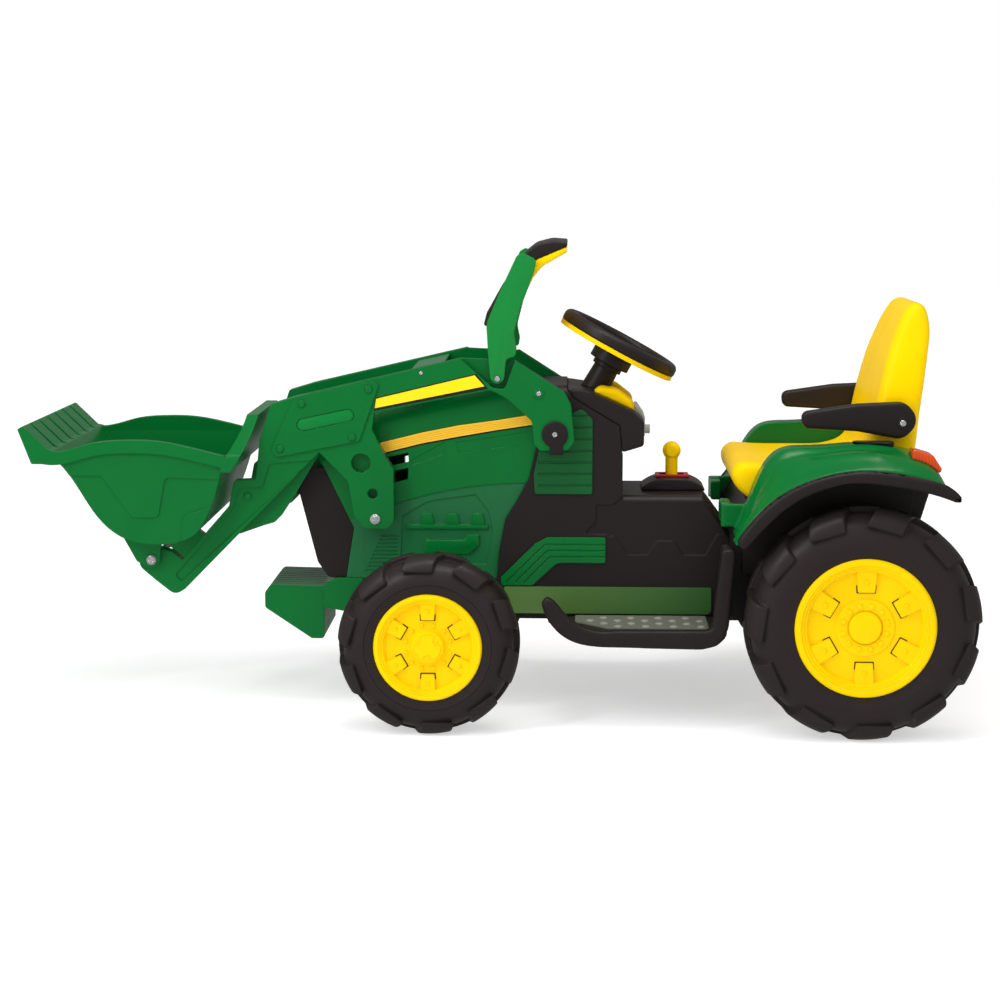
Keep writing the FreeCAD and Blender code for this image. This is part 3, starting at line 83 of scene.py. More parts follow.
class TractorColours(bpy.types.PropertyGroup):
    """Colours of the mouldings, as sRGB hex."""
    green: bpy.props.StringProperty(name="Green", description="Hood, loader and fenders", default="#036C2D")
    skirt: bpy.props.StringProperty(name="Skirt", description="Grained lower hood", default="#1F693C")
    handle: bpy.props.StringProperty(name="Handle", description="Loader handle", default="#178238")
    inlay: bpy.props.StringProperty(name="Inlay", description="Knee inlays", default="#0B7C36")
    vent: bpy.props.StringProperty(name="Vent", description="Textured vent panels", default="#155A2C")
    sill: bpy.props.StringProperty(name="Sill front", description="Film on the sills", default="#5B7E3E")
    sill_rear: bpy.props.StringProperty(name="Sill rear", description="Film at the rear end",
                                        default="#35632E")
    black: bpy.props.StringProperty(name="Black", description="Body, dash and footrests", default="#251F1E")
    tyre: bpy.props.StringProperty(name="Tyre", description="Blow-moulded tyres", default="#2A2322")
    yellow: bpy.props.StringProperty(name="Yellow", description="Rims, seat and lever", default="#FFD200")
    beam: bpy.props.StringProperty(name="Beam decal", description="Stripe on the beams", default="#FFE20C")
    hood: bpy.props.StringProperty(name="Hood decal", description="Stripe on the hood", default="#FFCA30")
    pinstripe: bpy.props.StringProperty(name="Pinstripe", description="Lines on the hood stripe",
                                        default="#E8AC22")
    silver: bpy.props.StringProperty(name="Silver", description="Radio panel and knob", default="#B8B6B1")
    grey: bpy.props.StringProperty(name="Grey", description="Tread plates", default="#6C6C62")
    # The bumps' grey is lighter than the plates' grey to paint the highlights on their tops.
    highlit_stud: bpy.props.StringProperty(name="Studs", description="Bumps on the tread plates", default="#8E8E84")
    red: bpy.props.StringProperty(name="Red", description="Gear plate", default="#B4161C")
    lens: bpy.props.StringProperty(name="Lens", description="Tail lights", default="#FF560E")


class TractorSizes(bpy.types.PropertyGroup):
    """Sizes of the trim pieces."""
    decal_lift: bpy.props.FloatProperty(name="Decal lift", description="Sticker thickness above its panel",
                                        default=0.35 * MM, unit="LENGTH")
    edge_round: bpy.props.FloatProperty(name="Edge rounding", description="Radius seen on moulded edges",
                                        default=2.6 * MM, unit="LENGTH")
    screw_radius: bpy.props.FloatProperty(name="Screw radius", description="Visible pan-head screws",
                                          default=4.2 * MM, unit="LENGTH")
    plug_radius: bpy.props.FloatProperty(name="Plug radius", description="Green plugs over the knee screws",
                                         default=6.6 * MM, unit="LENGTH")
    cap_radius: bpy.props.FloatProperty(name="Cap radius", description="Bright cap nuts at the mast feet",
                                        default=9.0 * MM, unit="LENGTH")
    rim_dish: bpy.props.FloatProperty(name="Rim dish", description="Depth of the rim's dish below its lip",
                                      default=13.0 * MM, unit="LENGTH")
    stud_pitch: bpy.props.FloatProperty(name="Tread pitch", description="Spacing of the tread bumps",
                                        default=48.0 * MM, unit="LENGTH")
    seat_round: bpy.props.FloatProperty(name="Seat rounding", description="Radius of the seat's side edges",
                                        default=13.0 * MM, unit="LENGTH")


def setting_names(group):
    """Names of a group's own settings."""
    return [name for name in group.bl_rna.properties.keys() if name not in ("rna_type", "name")]


# Node helpers

def linear(text):
    """sRGB hex to the linear colour that Blender works in."""
    values = []
    for start in (1, 3, 5):
        channel = int(text[start:start + 2], 16) / 255
        values.append(channel / 12.92 if channel <= 0.04045 else ((channel + 0.055) / 1.055) ** 2.4)
    return (*values, 1.0)


def shaded(colour, amount):
    """Colour made darker, or lighter where the amount is above one."""
    return (colour[0] * amount, colour[1] * amount, colour[2] * amount, 1.0)


def add_node(tree, kind, settings=None, **sockets):
    """New shader node with its settings; each socket is given a value or another node's output."""
    node = tree.nodes.new(kind)
    for name, value in (settings or {}).items():
        setattr(node, name, value)
    for name, value in sockets.items():
        socket = node.inputs[name.replace("_", " ")]
        if isinstance(value, bpy.types.NodeSocket):
            tree.links.new(value, socket)
        else:
            socket.default_value = value
    return node


def shader_of(material):
    """Node tree of a material, with its Principled shader."""
    tree = material.node_tree
    return tree, tree.nodes["Principled BSDF"]


def new_material(name, **sockets):
    """Material whose Principled shader has these constant values."""
    material = bpy.data.materials.new(name)
    material.use_nodes = True
    skin = shader_of(material)[1]
    for socket, value in sockets.items():
        skin.inputs[socket.replace("_", " ")].default_value = value
    return material


# Materials

DRIFT_LENGTH = 90 * MM
SMEAR_LENGTH = 35 * MM
TURNING_MARKS = 3 * MM
LENS_RIBS = 60.0
FILM_SMEAR = 30 * MM
HOOD_SEAM = ((0.060, 0.0, -0.372), 0.780)
SEAM_WIDTH = 0.3 * MM
ENDLESS = 1000.0
ARCH_LINING = 50 * MM

# Moulded plastics: title, colour, roughness, grain and its depth in millimetres, edge share, specular level
PLASTICS = {
    "green": ("green gloss ABS", "green", 0.22, 1.4, 0.02, 1.0, 0.26),
    "bonnet": ("green bonnet ABS", "green", 0.22, 1.4, 0.02, 1.0, 0.26),
    "fender": ("green fender ABS", "green", 0.22, 1.4, 0.02, 1.0, 0.26),
    "handle": ("leaf green ABS", "handle", 0.28, 1.4, 0.02, 1.0, 0.20),
    "inlay": ("bright green ABS", "inlay", 0.30, 1.4, 0.02, 1.0, 0.16),
    "vent": ("green grained ABS", "vent", 0.42, 0.9, 0.12, 1.0, 0.16),
    "black": ("black grained ABS", "black", 0.40, 1.0, 0.06, 1.5, 0.28),
    "tyre": ("black blow-moulded tyre plastic", "tyre", 0.40, 1.6, 0.08, 2.0, 0.30),
    "yellow": ("yellow gloss ABS", "yellow", 0.32, 1.2, 0.02, 1.0, 0.07),
    "grey": ("grey matt ABS", "grey", 0.40, 1.0, 0.05, 1.0, 0.35),
    "silver": ("silver-painted ABS", "silver", 0.30, 1.0, 0.02, 1.0, 0.35),
    # The bumps' grey is lighter than the plates' grey to paint the highlights on their tops.
    "highlit_stud": ("grey ABS lightened for painted highlights", "highlit_stud", 0.30, 1.0, 0.02, 1.0, 0.35),
    "red": ("red gloss ABS", "red", 0.28, 1.2, 0.03, 1.0, 0.35),
}
# The black film backs the decals and also paints the shade inside the open slits of the rims.
FILMS = {
    "beam": ("lemon vinyl film", "beam"), "hood": ("amber vinyl film", "hood"),
    "pin": ("brown vinyl ink", "pinstripe"), "ink": ("black vinyl film and painted slit shade", "black"),
}


def moulded_plastic(name, colour, gloss, grain, depth, edge, specular):
    """Injection-moulded plastic: faint colour drift, uneven gloss, fine mould grain, softly rounded edges."""
    material = new_material(name, Specular_IOR_Level=specular)
    tree, skin = shader_of(material)
    place = add_node(tree, "ShaderNodeTexCoord").outputs["Object"]
    drift = add_node(tree, "ShaderNodeTexNoise", Vector=place, Scale=1 / DRIFT_LENGTH).outputs["Fac"]
    shade = add_node(tree, "ShaderNodeMix", {"data_type": "RGBA"}, Factor=drift, A=shaded(colour, 0.90),
                     B=shaded(colour, 1.07))
    tree.links.new(shade.outputs["Result"], skin.inputs["Base Color"])
    smear = add_node(tree, "ShaderNodeTexNoise", Vector=place, Scale=1 / SMEAR_LENGTH, Detail=4.0)
    sheen = add_node(tree, "ShaderNodeMapRange", Value=smear.outputs["Fac"], To_Min=gloss - 0.05,
                     To_Max=gloss + 0.07)
    tree.links.new(sheen.outputs["Result"], skin.inputs["Roughness"])
    rounding = add_node(tree, "ShaderNodeBevel", {"samples": 6}, Radius=edge).outputs["Normal"]
    pebble = add_node(tree, "ShaderNodeTexNoise", Vector=place, Scale=1 / grain, Detail=3.0).outputs["Fac"]
    bump = add_node(tree, "ShaderNodeBump", Height=pebble, Distance=depth, Strength=0.6, Normal=rounding)
    tree.links.new(bump.outputs["Normal"], skin.inputs["Normal"])
    return material


def vinyl_film(name, colour):
    """Printed sticker: a smooth, glossy sheet with crisply cut edges."""
    return moulded_plastic(name, colour, 0.25, 0.8 * MM, 0.01 * MM, 0.2 * MM, 0.35)


def plated_steel(name, colour, gloss):
    """Plated metal: bright, with fine turning marks that spread its highlights."""
    material = new_material(name, Base_Color=linear(colour), Metallic=0.8)
    tree, skin = shader_of(material)
    place = add_node(tree, "ShaderNodeTexCoord").outputs["Object"]
    turned = add_node(tree, "ShaderNodeTexNoise", Vector=place, Scale=1 / TURNING_MARKS, Detail=4.0)
    marks = turned.outputs["Fac"]
    sheen = add_node(tree, "ShaderNodeMapRange", Value=marks, To_Min=gloss - 0.06, To_Max=gloss + 0.10)
    tree.links.new(sheen.outputs["Result"], skin.inputs["Roughness"])
    rounding = add_node(tree, "ShaderNodeBevel", {"samples": 4}, Radius=0.6 * MM).outputs["Normal"]
    bump = add_node(tree, "ShaderNodeBump", Height=marks, Distance=0.05 * MM, Normal=rounding)
    tree.links.new(bump.outputs["Normal"], skin.inputs["Normal"])
    return material


def lens_plastic(name, colour):
    """Clear coloured lens: upright prism ribs glow behind a smooth, glossy face."""
    material = new_material(name, Roughness=0.10, Transmission_Weight=0.2, Coat_Weight=0.8)
    tree, skin = shader_of(material)
    place = add_node(tree, "ShaderNodeTexCoord").outputs["Object"]
    ribs = add_node(tree, "ShaderNodeTexWave", Vector=place, Scale=LENS_RIBS).outputs["Fac"]
    shade = add_node(tree, "ShaderNodeMix", {"data_type": "RGBA"}, Factor=ribs, A=shaded(colour, 0.82),
                     B=colour)
    tree.links.new(shade.outputs["Result"], skin.inputs["Base Color"])
    rounding = add_node(tree, "ShaderNodeBevel", {"samples": 6}, Radius=4 * MM).outputs["Normal"]
    bump = add_node(tree, "ShaderNodeBump", Height=ribs, Distance=0.1 * MM, Normal=rounding)
    tree.links.new(bump.outputs["Normal"], skin.inputs["Normal"])
    return material


def add_inner_tone(material, colour, centre, radius):
    """Changes a plastic to another colour inside a wide arc, which shows as a clean curved seam."""
    tree, skin = shader_of(material)
    outer = skin.inputs["Base Color"].links[0].from_socket
    place = add_node(tree, "ShaderNodeTexCoord").outputs["Object"]
    about = add_node(tree, "ShaderNodeMapping", {"vector_type": "TEXTURE"}, Vector=place, Location=centre,
                     Scale=(2 * radius, ENDLESS, 2 * radius))
    disc = add_node(tree, "ShaderNodeTexGradient", {"gradient_type": "SPHERICAL"},
                    Vector=about.outputs["Vector"])
    seam = SEAM_WIDTH / radius
    inside = add_node(tree, "ShaderNodeMapRange", Value=disc.outputs["Fac"], From_Min=0.5 - seam,
                      From_Max=0.5 + seam)
    shade = add_node(tree, "ShaderNodeMix", {"data_type": "RGBA"}, Factor=inside.outputs["Result"], A=outer,
                     B=colour)
    tree.links.new(shade.outputs["Result"], skin.inputs["Base Color"])


def wheel_arch():
    """Centre and radius of the lined space above the rear wheels."""
    low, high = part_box("rear_tyre_right")
    return (low + high) / 2, (high.x - low.x) / 2 + ARCH_LINING


def sill_film(name, colour, rear_colour):
    """Film on the sill: olive at the front, turning darker towards the rear, with a satin face."""
    material = new_material(name, Specular_IOR_Level=0.3)
    tree, skin = shader_of(material)
    low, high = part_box("body_sills")
    place = add_node(tree, "ShaderNodeTexCoord").outputs["Object"]
    along = add_node(tree, "ShaderNodeSeparateXYZ", Vector=place).outputs["X"]
    fade = add_node(tree, "ShaderNodeMapRange", Value=along, From_Min=low.x, From_Max=high.x)
    shade = add_node(tree, "ShaderNodeMix", {"data_type": "RGBA"}, Factor=fade.outputs["Result"], A=colour,
                     B=rear_colour)
    tree.links.new(shade.outputs["Result"], skin.inputs["Base Color"])
    smear = add_node(tree, "ShaderNodeTexNoise", Vector=place, Scale=1 / FILM_SMEAR).outputs["Fac"]
    sheen = add_node(tree, "ShaderNodeMapRange", Value=smear, To_Min=0.30, To_Max=0.42)
    tree.links.new(sheen.outputs["Result"], skin.inputs["Roughness"])
    return material


def make_materials(colours, edge):
    """All the materials by their short names, in the colours of the settings."""
    paint = {name: linear(getattr(colours, name)) for name in setting_names(colours)}
    made = {
        "sill": sill_film("green printed film", paint["sill"], paint["sill_rear"]),
        "lens": lens_plastic("orange-red lens acrylic", paint["lens"]),
        "steel": plated_steel("zinc-plated steel", "#B4B4B2", 0.30),
        "chrome": plated_steel("chrome-plated steel", "#F2F2F4", 0.14),
    }
    for key, (title, colour, gloss, grain, depth, edge_share, specular) in PLASTICS.items():
        made[key] = moulded_plastic(title, paint[colour], gloss, grain * MM, depth * MM, edge_share * edge,
                                    specular)
    for key, (title, colour) in FILMS.items():
        made[key] = vinyl_film(title, paint[colour])
    add_inner_tone(made["bonnet"], paint["skirt"], *HOOD_SEAM)
    add_inner_tone(made["fender"], paint["black"], *wheel_arch())
    return made


materials = {}

SLOT_MATERIAL = {
    "green_plastic": "green", "black_plastic": "black", "yellow_plastic": "yellow", "grey_plastic": "grey",
    "red_plastic": "red", "lens_plastic": "lens", "steel": "steel", "tyre_plastic": "tyre",
}
NODE_MATERIAL = {
    "hood": "bonnet", "vent_panels": "vent", "body_sills": "sill", "handle_uprights": "handle",
    "radio_panel": "silver", "radio_knob": "silver", "fender_left": "fender", "fender_right": "fender",
}
NODE_SLOT = {part["node"]: part["material_slot"] for part in frame["record"]["subparts"]}


def node_material(name):
    """Name of the material that a CAD node wears."""
    return NODE_MATERIAL.get(name, SLOT_MATERIAL[NODE_SLOT[name]])


def node_body(name):
    """Body that a CAD node rides on."""
    return frame["nodes"][name]["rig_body"]


def node_box(name):
    """Corners of a CAD node's box, in millimetres."""
    low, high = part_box(name)
    return low / MM, high / MM


class TRACTOR_OT_finish_frame(bpy.types.Operator):
    """Give every CAD node its material"""
    bl_idname = "tractor.finish_frame"
    bl_label = "Finish frame"

    def execute(self, context):
        scene = context.scene
        materials.update(make_materials(scene.tractor_colours, scene.tractor_sizes.edge_round))
        for name, piece in frame["nodes"].items():
            piece.data.materials.clear()
            piece.data.materials.append(materials[node_material(name)])
        return {"FINISHED"}


# Mesh helpers

def finished(name, bm, material, body):
    """Turns a bmesh into a piece that rides on a CAD body."""
    bmesh.ops.remove_doubles(bm, verts=bm.verts, dist=MERGE_DISTANCE)
    bmesh.ops.recalc_face_normals(bm, faces=bm.faces)
    mesh = bpy.data.meshes.new(name)
    bm.to_mesh(mesh)
    bm.free()
    piece = bpy.data.objects.new(name, mesh)
    bpy.context.scene.collection.objects.link(piece)
    mesh.materials.append(materials[material])
    for polygon in mesh.polygons:
        polygon.use_smooth = True
    mesh.set_sharp_from_angle(angle=SHADING_ANGLE)
    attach(piece, body)
    return piece


def everything(bm):
    """All the geometry of a bmesh."""
    return list(bm.verts) + list(bm.edges) + list(bm.faces)


def verts_among(geometry):
    """The corner points in what a mesh operator gave back."""
    return [item for item in geometry if isinstance(item, bmesh.types.BMVert)]


def round_corners(points, steps=6):
    """Outline in millimetres; a point with a third value has its corner rounded to that radius."""
    outline = []
    for index, point in enumerate(points):
        here = Vector(point[:2])
        if len(point) == 2:
            outline.append(here)
            continue
        radius = point[2]
        before = (Vector(points[index - 1][:2]) - here).normalized()
        after = (Vector(points[(index + 1) % len(points)][:2]) - here).normalized()
        half = before.angle(after) / 2
        centre = here + (before + after).normalized() * radius / math.sin(half)
        start = (here + before * radius / math.tan(half) - centre).normalized()
        end = (here + after * radius / math.tan(half) - centre).normalized()
        outline += [centre + start.slerp(end, step / steps) * radius for step in range(steps + 1)]
    return outline


def extrude_outline(bm, outline, y_low, y_high):
    """Side outline in millimetres (x, z), given thickness along Y."""
    face = bm.faces.new([bm.verts.new((x * MM, y_low * MM, z * MM)) for x, z in outline])
    grown = bmesh.ops.extrude_face_region(bm, geom=[face])
    bmesh.ops.translate(bm, verts=verts_among(grown["geom"]), vec=(0, (y_high - y_low) * MM, 0))


def rim_edges(bm, level):
    """Edges of a prism that lie all round one of its flat faces."""
    near = {vert for vert in bm.verts if abs(vert.co.y - level * MM) < LEVEL_TOLERANCE}
    return [edge for edge in bm.edges if edge.verts[0] in near and edge.verts[1] in near]


def round_edges(bm, edges, radius, segments, clamp=False):
    """Rounds edges over to a radius in millimetres."""
    bmesh.ops.bevel(bm, geom=edges, offset=radius * MM, affect="EDGES", segments=segments, profile=0.5,
                    material=-1, clamp_overlap=clamp)


def add_prism(bm, outline, y_low, y_high, bevel=0.0, segments=2):
    """Extruded outline with its outer edge rounded."""
    part = bmesh.new()
    extrude_outline(part, outline, y_low, y_high)
    if bevel:
        round_edges(part, rim_edges(part, y_high), bevel, segments)
    add_all(bm, part)


def add_all(bm, part):
    """Moves a finished small shape into the piece."""
    mesh = bpy.data.meshes.new("shape")
    part.to_mesh(mesh)
    part.free()
    bm.from_mesh(mesh)
    bpy.data.meshes.remove(mesh)


def add_disc(bm, x, z, radius, y_low, y_high, bevel=0.0, sides=32):
    """Round piece on a cross axis, in millimetres, with its outer edge rounded."""
    circle = [around(x, z, radius, 360 * step / sides) for step in range(sides)]
    add_prism(bm, circle, y_low, y_high, bevel, EDGE_SEGMENTS)


def both_sides(bm):
    """Repeats everything made so far on the other side of the middle plane."""
    copies = bmesh.ops.duplicate(bm, geom=everything(bm))
    bmesh.ops.transform(bm, verts=verts_among(copies["geom"]), matrix=MIDDLE_PLANE)


def put_on_side(bm, side):
    """Pieces are drawn for the right-hand side; the left-hand one is its mirror image."""
    if side == "left":
        bmesh.ops.transform(bm, verts=bm.verts, matrix=MIDDLE_PLANE)


def face_of(node):
    """Outer face of a CAD node on the right-hand side, in millimetres."""
    return node_box(node)[1].y


def hood_face():
    """Flat side of the hood, in millimetres; the front weights are as wide as the hood."""
    return face_of("front_weights")


def around(x, z, distance, degrees):
    """Point at a distance and angle from an axle, in millimetres."""
    turn = math.radians(degrees)
    return x + distance * math.cos(turn), z + distance * math.sin(turn)


def between(lower, upper, low_share, high_share):
    """Outline of the band between two lines, from one share of its height to another."""
    bottom = [Vector(a).lerp(Vector(b), low_share) for a, b in zip(lower, upper)]
    top = [Vector(a).lerp(Vector(b), high_share) for a, b in zip(lower, upper)]
    return bottom + top[::-1]


# Wheels

WHEEL_LOOKS = {
    "front": {"bolt_circle": 0.42, "bolt_level": 0.0, "bolt_radius": 3.6, "tab_dot": 0.68},
    "rear": {"bolt_circle": 0.317, "bolt_level": 2.5, "bolt_radius": 4.8, "tab_dot": 0.656},
}
BOLT_COUNT = 12
BOLT_START = 15
BOLT_RISE = 2.2
BOLT_EDGE = 1.2
BOLT_SIDES = 20
TAB_COUNT = 6
TAB_START = 90
TAB_RISE = 5.0
TAB_INNER = 0.51
TAB_HALF_INNER = 0.12
TAB_HALF_TOP = 0.128
DOT_SHARE = 0.85
DOT_RISE = 1.8
DOT_EDGE = 1.0
SLIT_TOP = 0.61
SLIT_WIDTH = 1.9
SLIT_LEVELS = (-0.2, 0.3)
CAP_FACE = 9.4
CAP_ROOT = 1.0
CAP_RISE = 1.4
CAP_STEPS = 120
CAP_LOBE = 0.245
NOTCH_TURNS = (35, 145, 270)
NOTCH_PLACE = 0.225
NOTCH_RADIUS = 0.085
HUB_SCREW_PLACE = 0.21
HUB_SCREW_RADIUS = 2.4
HUB_SCREW_RISE = 0.9
HUB_SCREW_EDGE = 0.6
HUB_SCREW_SIDES = 16


def rim_place(axle):
    """Centre, radius and dish level of a rim, in millimetres, drawn for the right-hand side."""
    low, high = node_box(f"{axle}_rim_right")
    centre = (low + high) / 2
    dish = high.y - bpy.context.scene.tractor_sizes.rim_dish / MM
    return centre.x, centre.z, (high.x - low.x) / 2, dish


def rim_bolts(axle, side):
    """Moulded bolt heads: a ring about the hub and one on every tab."""
    x, z, radius, dish = rim_place(axle)
    look = WHEEL_LOOKS[axle]
    level = dish + look["bolt_level"]
    tab = dish + TAB_RISE
    bm = bmesh.new()
    for index in range(BOLT_COUNT):
        spot = around(x, z, look["bolt_circle"] * radius, BOLT_START + 360 / BOLT_COUNT * index)
        add_disc(bm, *spot, look["bolt_radius"], level, level + BOLT_RISE, BOLT_EDGE, BOLT_SIDES)
    for index in range(TAB_COUNT):
        spot = around(x, z, look["tab_dot"] * radius, TAB_START + 360 / TAB_COUNT * index)
        add_disc(bm, *spot, DOT_SHARE * look["bolt_radius"], tab, tab + DOT_RISE, DOT_EDGE, BOLT_SIDES)
    put_on_side(bm, side)
    finished(f"{axle}_rim_bolts_{side}", bm, "yellow", f"{axle}_wheel_{side}")


def rim_slit_shade(axle, side):
    """Black strip painted as the shade inside the open slit round the inner end of every tab."""
    x, z, radius, dish = rim_place(axle)
    width = SLIT_WIDTH
    inner = TAB_INNER * radius
    top = SLIT_TOP * radius
    half = TAB_HALF_INNER * radius
    half_top = TAB_HALF_TOP * radius
    slit = [(-half_top, top), (-half, inner), (half, inner), (half_top, top), (half_top + width, top),
            (half + width, inner - width), (-half - width, inner - width), (-half_top - width, top)]
    bm = bmesh.new()
    for index in range(TAB_COUNT):
        turn = Matrix.Rotation(math.radians(360 / TAB_COUNT * index), 2)
        outline = [Vector((x, z)) + turn @ Vector(point) for point in slit]
        # Each black strip paints the shade seen in an open slit; the slot itself is not cut.
        add_prism(bm, outline, dish + SLIT_LEVELS[0], dish + SLIT_LEVELS[1])
    put_on_side(bm, side)
    finished(f"{axle}_rim_slit_shade_{side}", bm, "ink", f"{axle}_wheel_{side}")


def cap_reach(radius, turn):
    """Distance from the hub's axis to the edge of the notched cap plate, at one angle."""
    notch_at = NOTCH_PLACE * radius
    notch = NOTCH_RADIUS * radius
    reach = CAP_LOBE * radius
    for middle in NOTCH_TURNS:
        swing = math.radians(turn - middle)
        aside = notch_at * math.sin(swing)
        if math.cos(swing) > 0 and abs(aside) < notch:
            reach = min(reach, notch_at * math.cos(swing) - math.sqrt(notch ** 2 - aside ** 2))
    return reach


def hub_cap_plate(side):
    """Raised three-lobed plate on the front hub cap, with a small screw in each notch."""
    x, z, radius, dish = rim_place("front")
    face = dish + CAP_FACE
    turns = [360 / CAP_STEPS * step for step in range(CAP_STEPS)]
    outline = [around(x, z, cap_reach(radius, turn), turn) for turn in turns]
    bm = bmesh.new()
    add_prism(bm, outline, face - CAP_ROOT, face + CAP_RISE)
    for middle in NOTCH_TURNS:
        add_disc(bm, *around(x, z, HUB_SCREW_PLACE * radius, middle), HUB_SCREW_RADIUS, face - CAP_ROOT,
                 face + HUB_SCREW_RISE, HUB_SCREW_EDGE, HUB_SCREW_SIDES)
    put_on_side(bm, side)
    finished(f"front_cap_plate_{side}", bm, "yellow", f"front_wheel_{side}")


class TRACTOR_OT_wheel_details(bpy.types.Operator):
    """Add bolt heads, painted shade in the slits, and cap plates to the rims"""
    bl_idname = "tractor.wheel_details"
    bl_label = "Wheel details"

    def execute(self, context):
        for side in SIDES:
            for axle in WHEEL_LOOKS:
                rim_bolts(axle, side)
                rim_slit_shade(axle, side)
            hub_cap_plate(side)
        return {"FINISHED"}


# Decals

KNEE_RISE = 3.0
BEAM_LOWER = ((-212, 538.5), (-13, 578))
BEAM_UPPER = ((-208, 562), (-33, 604))
LOWER_BORDER = ((2.2, 5), (-6, 4.5))
UPPER_BORDER = ((1, -2), (-3, -2.5))
HOOD_LOWER = ((-193, 459), (-130, 475), (-66, 487), (0, 499), (66, 509))
HOOD_UPPER = ((-206, 479), (-130, 498), (-66, 511), (0, 520), (60, 530))
HOOD_STRIPE = (0.14, 0.96)
PINSTRIPES = (0.28, 0.44, 0.60, 0.76)
PINSTRIPE_WIDTH = 0.035


def arm_face():
    """Flat side of the loader's beams, in millimetres, which the knee plates stand proud of."""
    return face_of("loader_arm_right") - KNEE_RISE


def moved_in(line, border):
    """Line of a stripe, moved in from the edge of its backing."""
    return [Vector(point) + Vector(step) for point, step in zip(line, border)]


class TRACTOR_OT_decals(bpy.types.Operator):
    """Stick the plain stripes on the loader beams and the hood"""
    bl_idname = "tractor.decals"
    bl_label = "Decals"

    def execute(self, context):
        lift = context.scene.tractor_sizes.decal_lift / MM
        beam = arm_face()
        hood = hood_face()
        beam_stripe = between(moved_in(BEAM_LOWER, LOWER_BORDER), moved_in(BEAM_UPPER, UPPER_BORDER), 0, 1)
        stripes = [
            ("beam_backing", "ink", beam, 1, "loader", [between(BEAM_LOWER, BEAM_UPPER, 0, 1)]),
            ("beam_stripe", "beam", beam, 2, "loader", [beam_stripe]),
            ("hood_backing", "ink", hood, 1, "chassis", [between(HOOD_LOWER, HOOD_UPPER, 0, 1)]),
            ("hood_stripe", "hood", hood, 2, "chassis", [between(HOOD_LOWER, HOOD_UPPER, *HOOD_STRIPE)]),
            ("hood_pinstripes", "pin", hood, 3, "chassis",
             [between(HOOD_LOWER, HOOD_UPPER, share, share + PINSTRIPE_WIDTH) for share in PINSTRIPES]),
        ]
        for name, material, face, layers, body, outlines in stripes:
            bm = bmesh.new()
            for outline in outlines:
                add_prism(bm, outline, face, face + layers * lift)
            both_sides(bm)
            finished(name, bm, material, body)
        return {"FINISHED"}


# Engine block moulded into the hood's sides

ENGINE_LEDGE = ((-160, 325), (-14, 325), (-14, 334), (-160, 334))
ENGINE_DOME = ((-13, 333), (-9, 354, 5), (9, 354, 5), (13, 333))
DOME_PLACES = (-122, -77, -32)
CRANKCASE = (
    (-126, 280, 6), (-126, 306, 6), (-56, 306, 6), (-50, 316, 2), (-30, 316, 2), (-30, 296, 2), (-48, 280, 6),
)
ENGINE_FLOOR = -3.0
ENGINE_RISE = 1.6
ENGINE_EDGE = 2.2


class TRACTOR_OT_engine_block(bpy.types.Operator):
    """Raise the engine's ledge, domes and crankcase in the bay of each hood side"""
    bl_idname = "tractor.engine_block"
    bl_label = "Engine block"

    def execute(self, context):
        hood = hood_face()
        shapes = [ENGINE_LEDGE, CRANKCASE]
        shapes += [[(place + x, *rest) for x, *rest in ENGINE_DOME] for place in DOME_PLACES]
        bm = bmesh.new()
        for shape in shapes:
            add_prism(bm, round_corners(shape), hood + ENGINE_FLOOR, hood + ENGINE_RISE, ENGINE_EDGE,
                      EDGE_SEGMENTS)
        both_sides(bm)
        finished("engine_block", bm, "green", "chassis")
        return {"FINISHED"}


# Fasteners and inlays of the loader

KNEE_PLUGS = ((-337, 551), (-220, 577), (-250, 493), (-376, 472))
PLUG_RISE = 1.8
PLUG_EDGE = 1.0
LOWER_ARM_PLUG = (-435, 387)
LOWER_ARM_STEP = 2.0
LOWER_PLUG_RISE = 1.6
LOWER_PLUG_EDGE = 0.8
RING_MARGIN = 1.1
RING_RISE = 0.3
ELBOW_SCREW = (75, 570)
ELBOW_RING = 1.5
ELBOW_RISE = 1.4
ELBOW_EDGE = 0.9
KNEE_INLAY = ((-335, 514), (-257, 531))
INLAY_HALF = 10.4
INLAY_LEVELS = (-2.0, -0.6)
INLAY_EDGE = 0.6
HALF_CIRCLE = range(0, 181, 15)
BEAM_SCREW = (-129, 605)
HANDLE_PIN = (3, 595)
ELBOW_CAP = (103, 499)
MAST_NUT = (-211, 348)
NUT_RISE = 2.0
NUT_EDGE = 0.8
NUT_SCREW = 0.72
NUT_SCREW_HEIGHT = 4.5
CAP_SCREW = 1.1
CAP_SCREW_HEIGHT = 2.6
ROD_SCREW = 0.8
ROD_SCREW_SINK = 0.5
ROD_SCREW_HEIGHT = 2.4

# Screw heads: shares of the head's height, then shares of its radius, and the turns of a raised quarter
HEAD_RIM = 0.6
HEAD_EDGE = 0.3
HEAD_SIDES = 28
RECESS_FLOOR = 0.5
RECESS_EDGE = 0.15
RECESS_GAP = 0.24
QUARTER_REACH = 0.66
QUARTER_TURNS = (-36, -18, 0, 18, 36)

# Screws on the beams: place, share of the screw radius, level above the beam's side and height of the head
BEAM_SCREWS = (
    (BEAM_SCREW, 0.8, 0.0, 2.0), (ELBOW_SCREW, 1.0, ELBOW_RISE, 2.2), (HANDLE_PIN, 1.15, -1.0, 2.6),
)


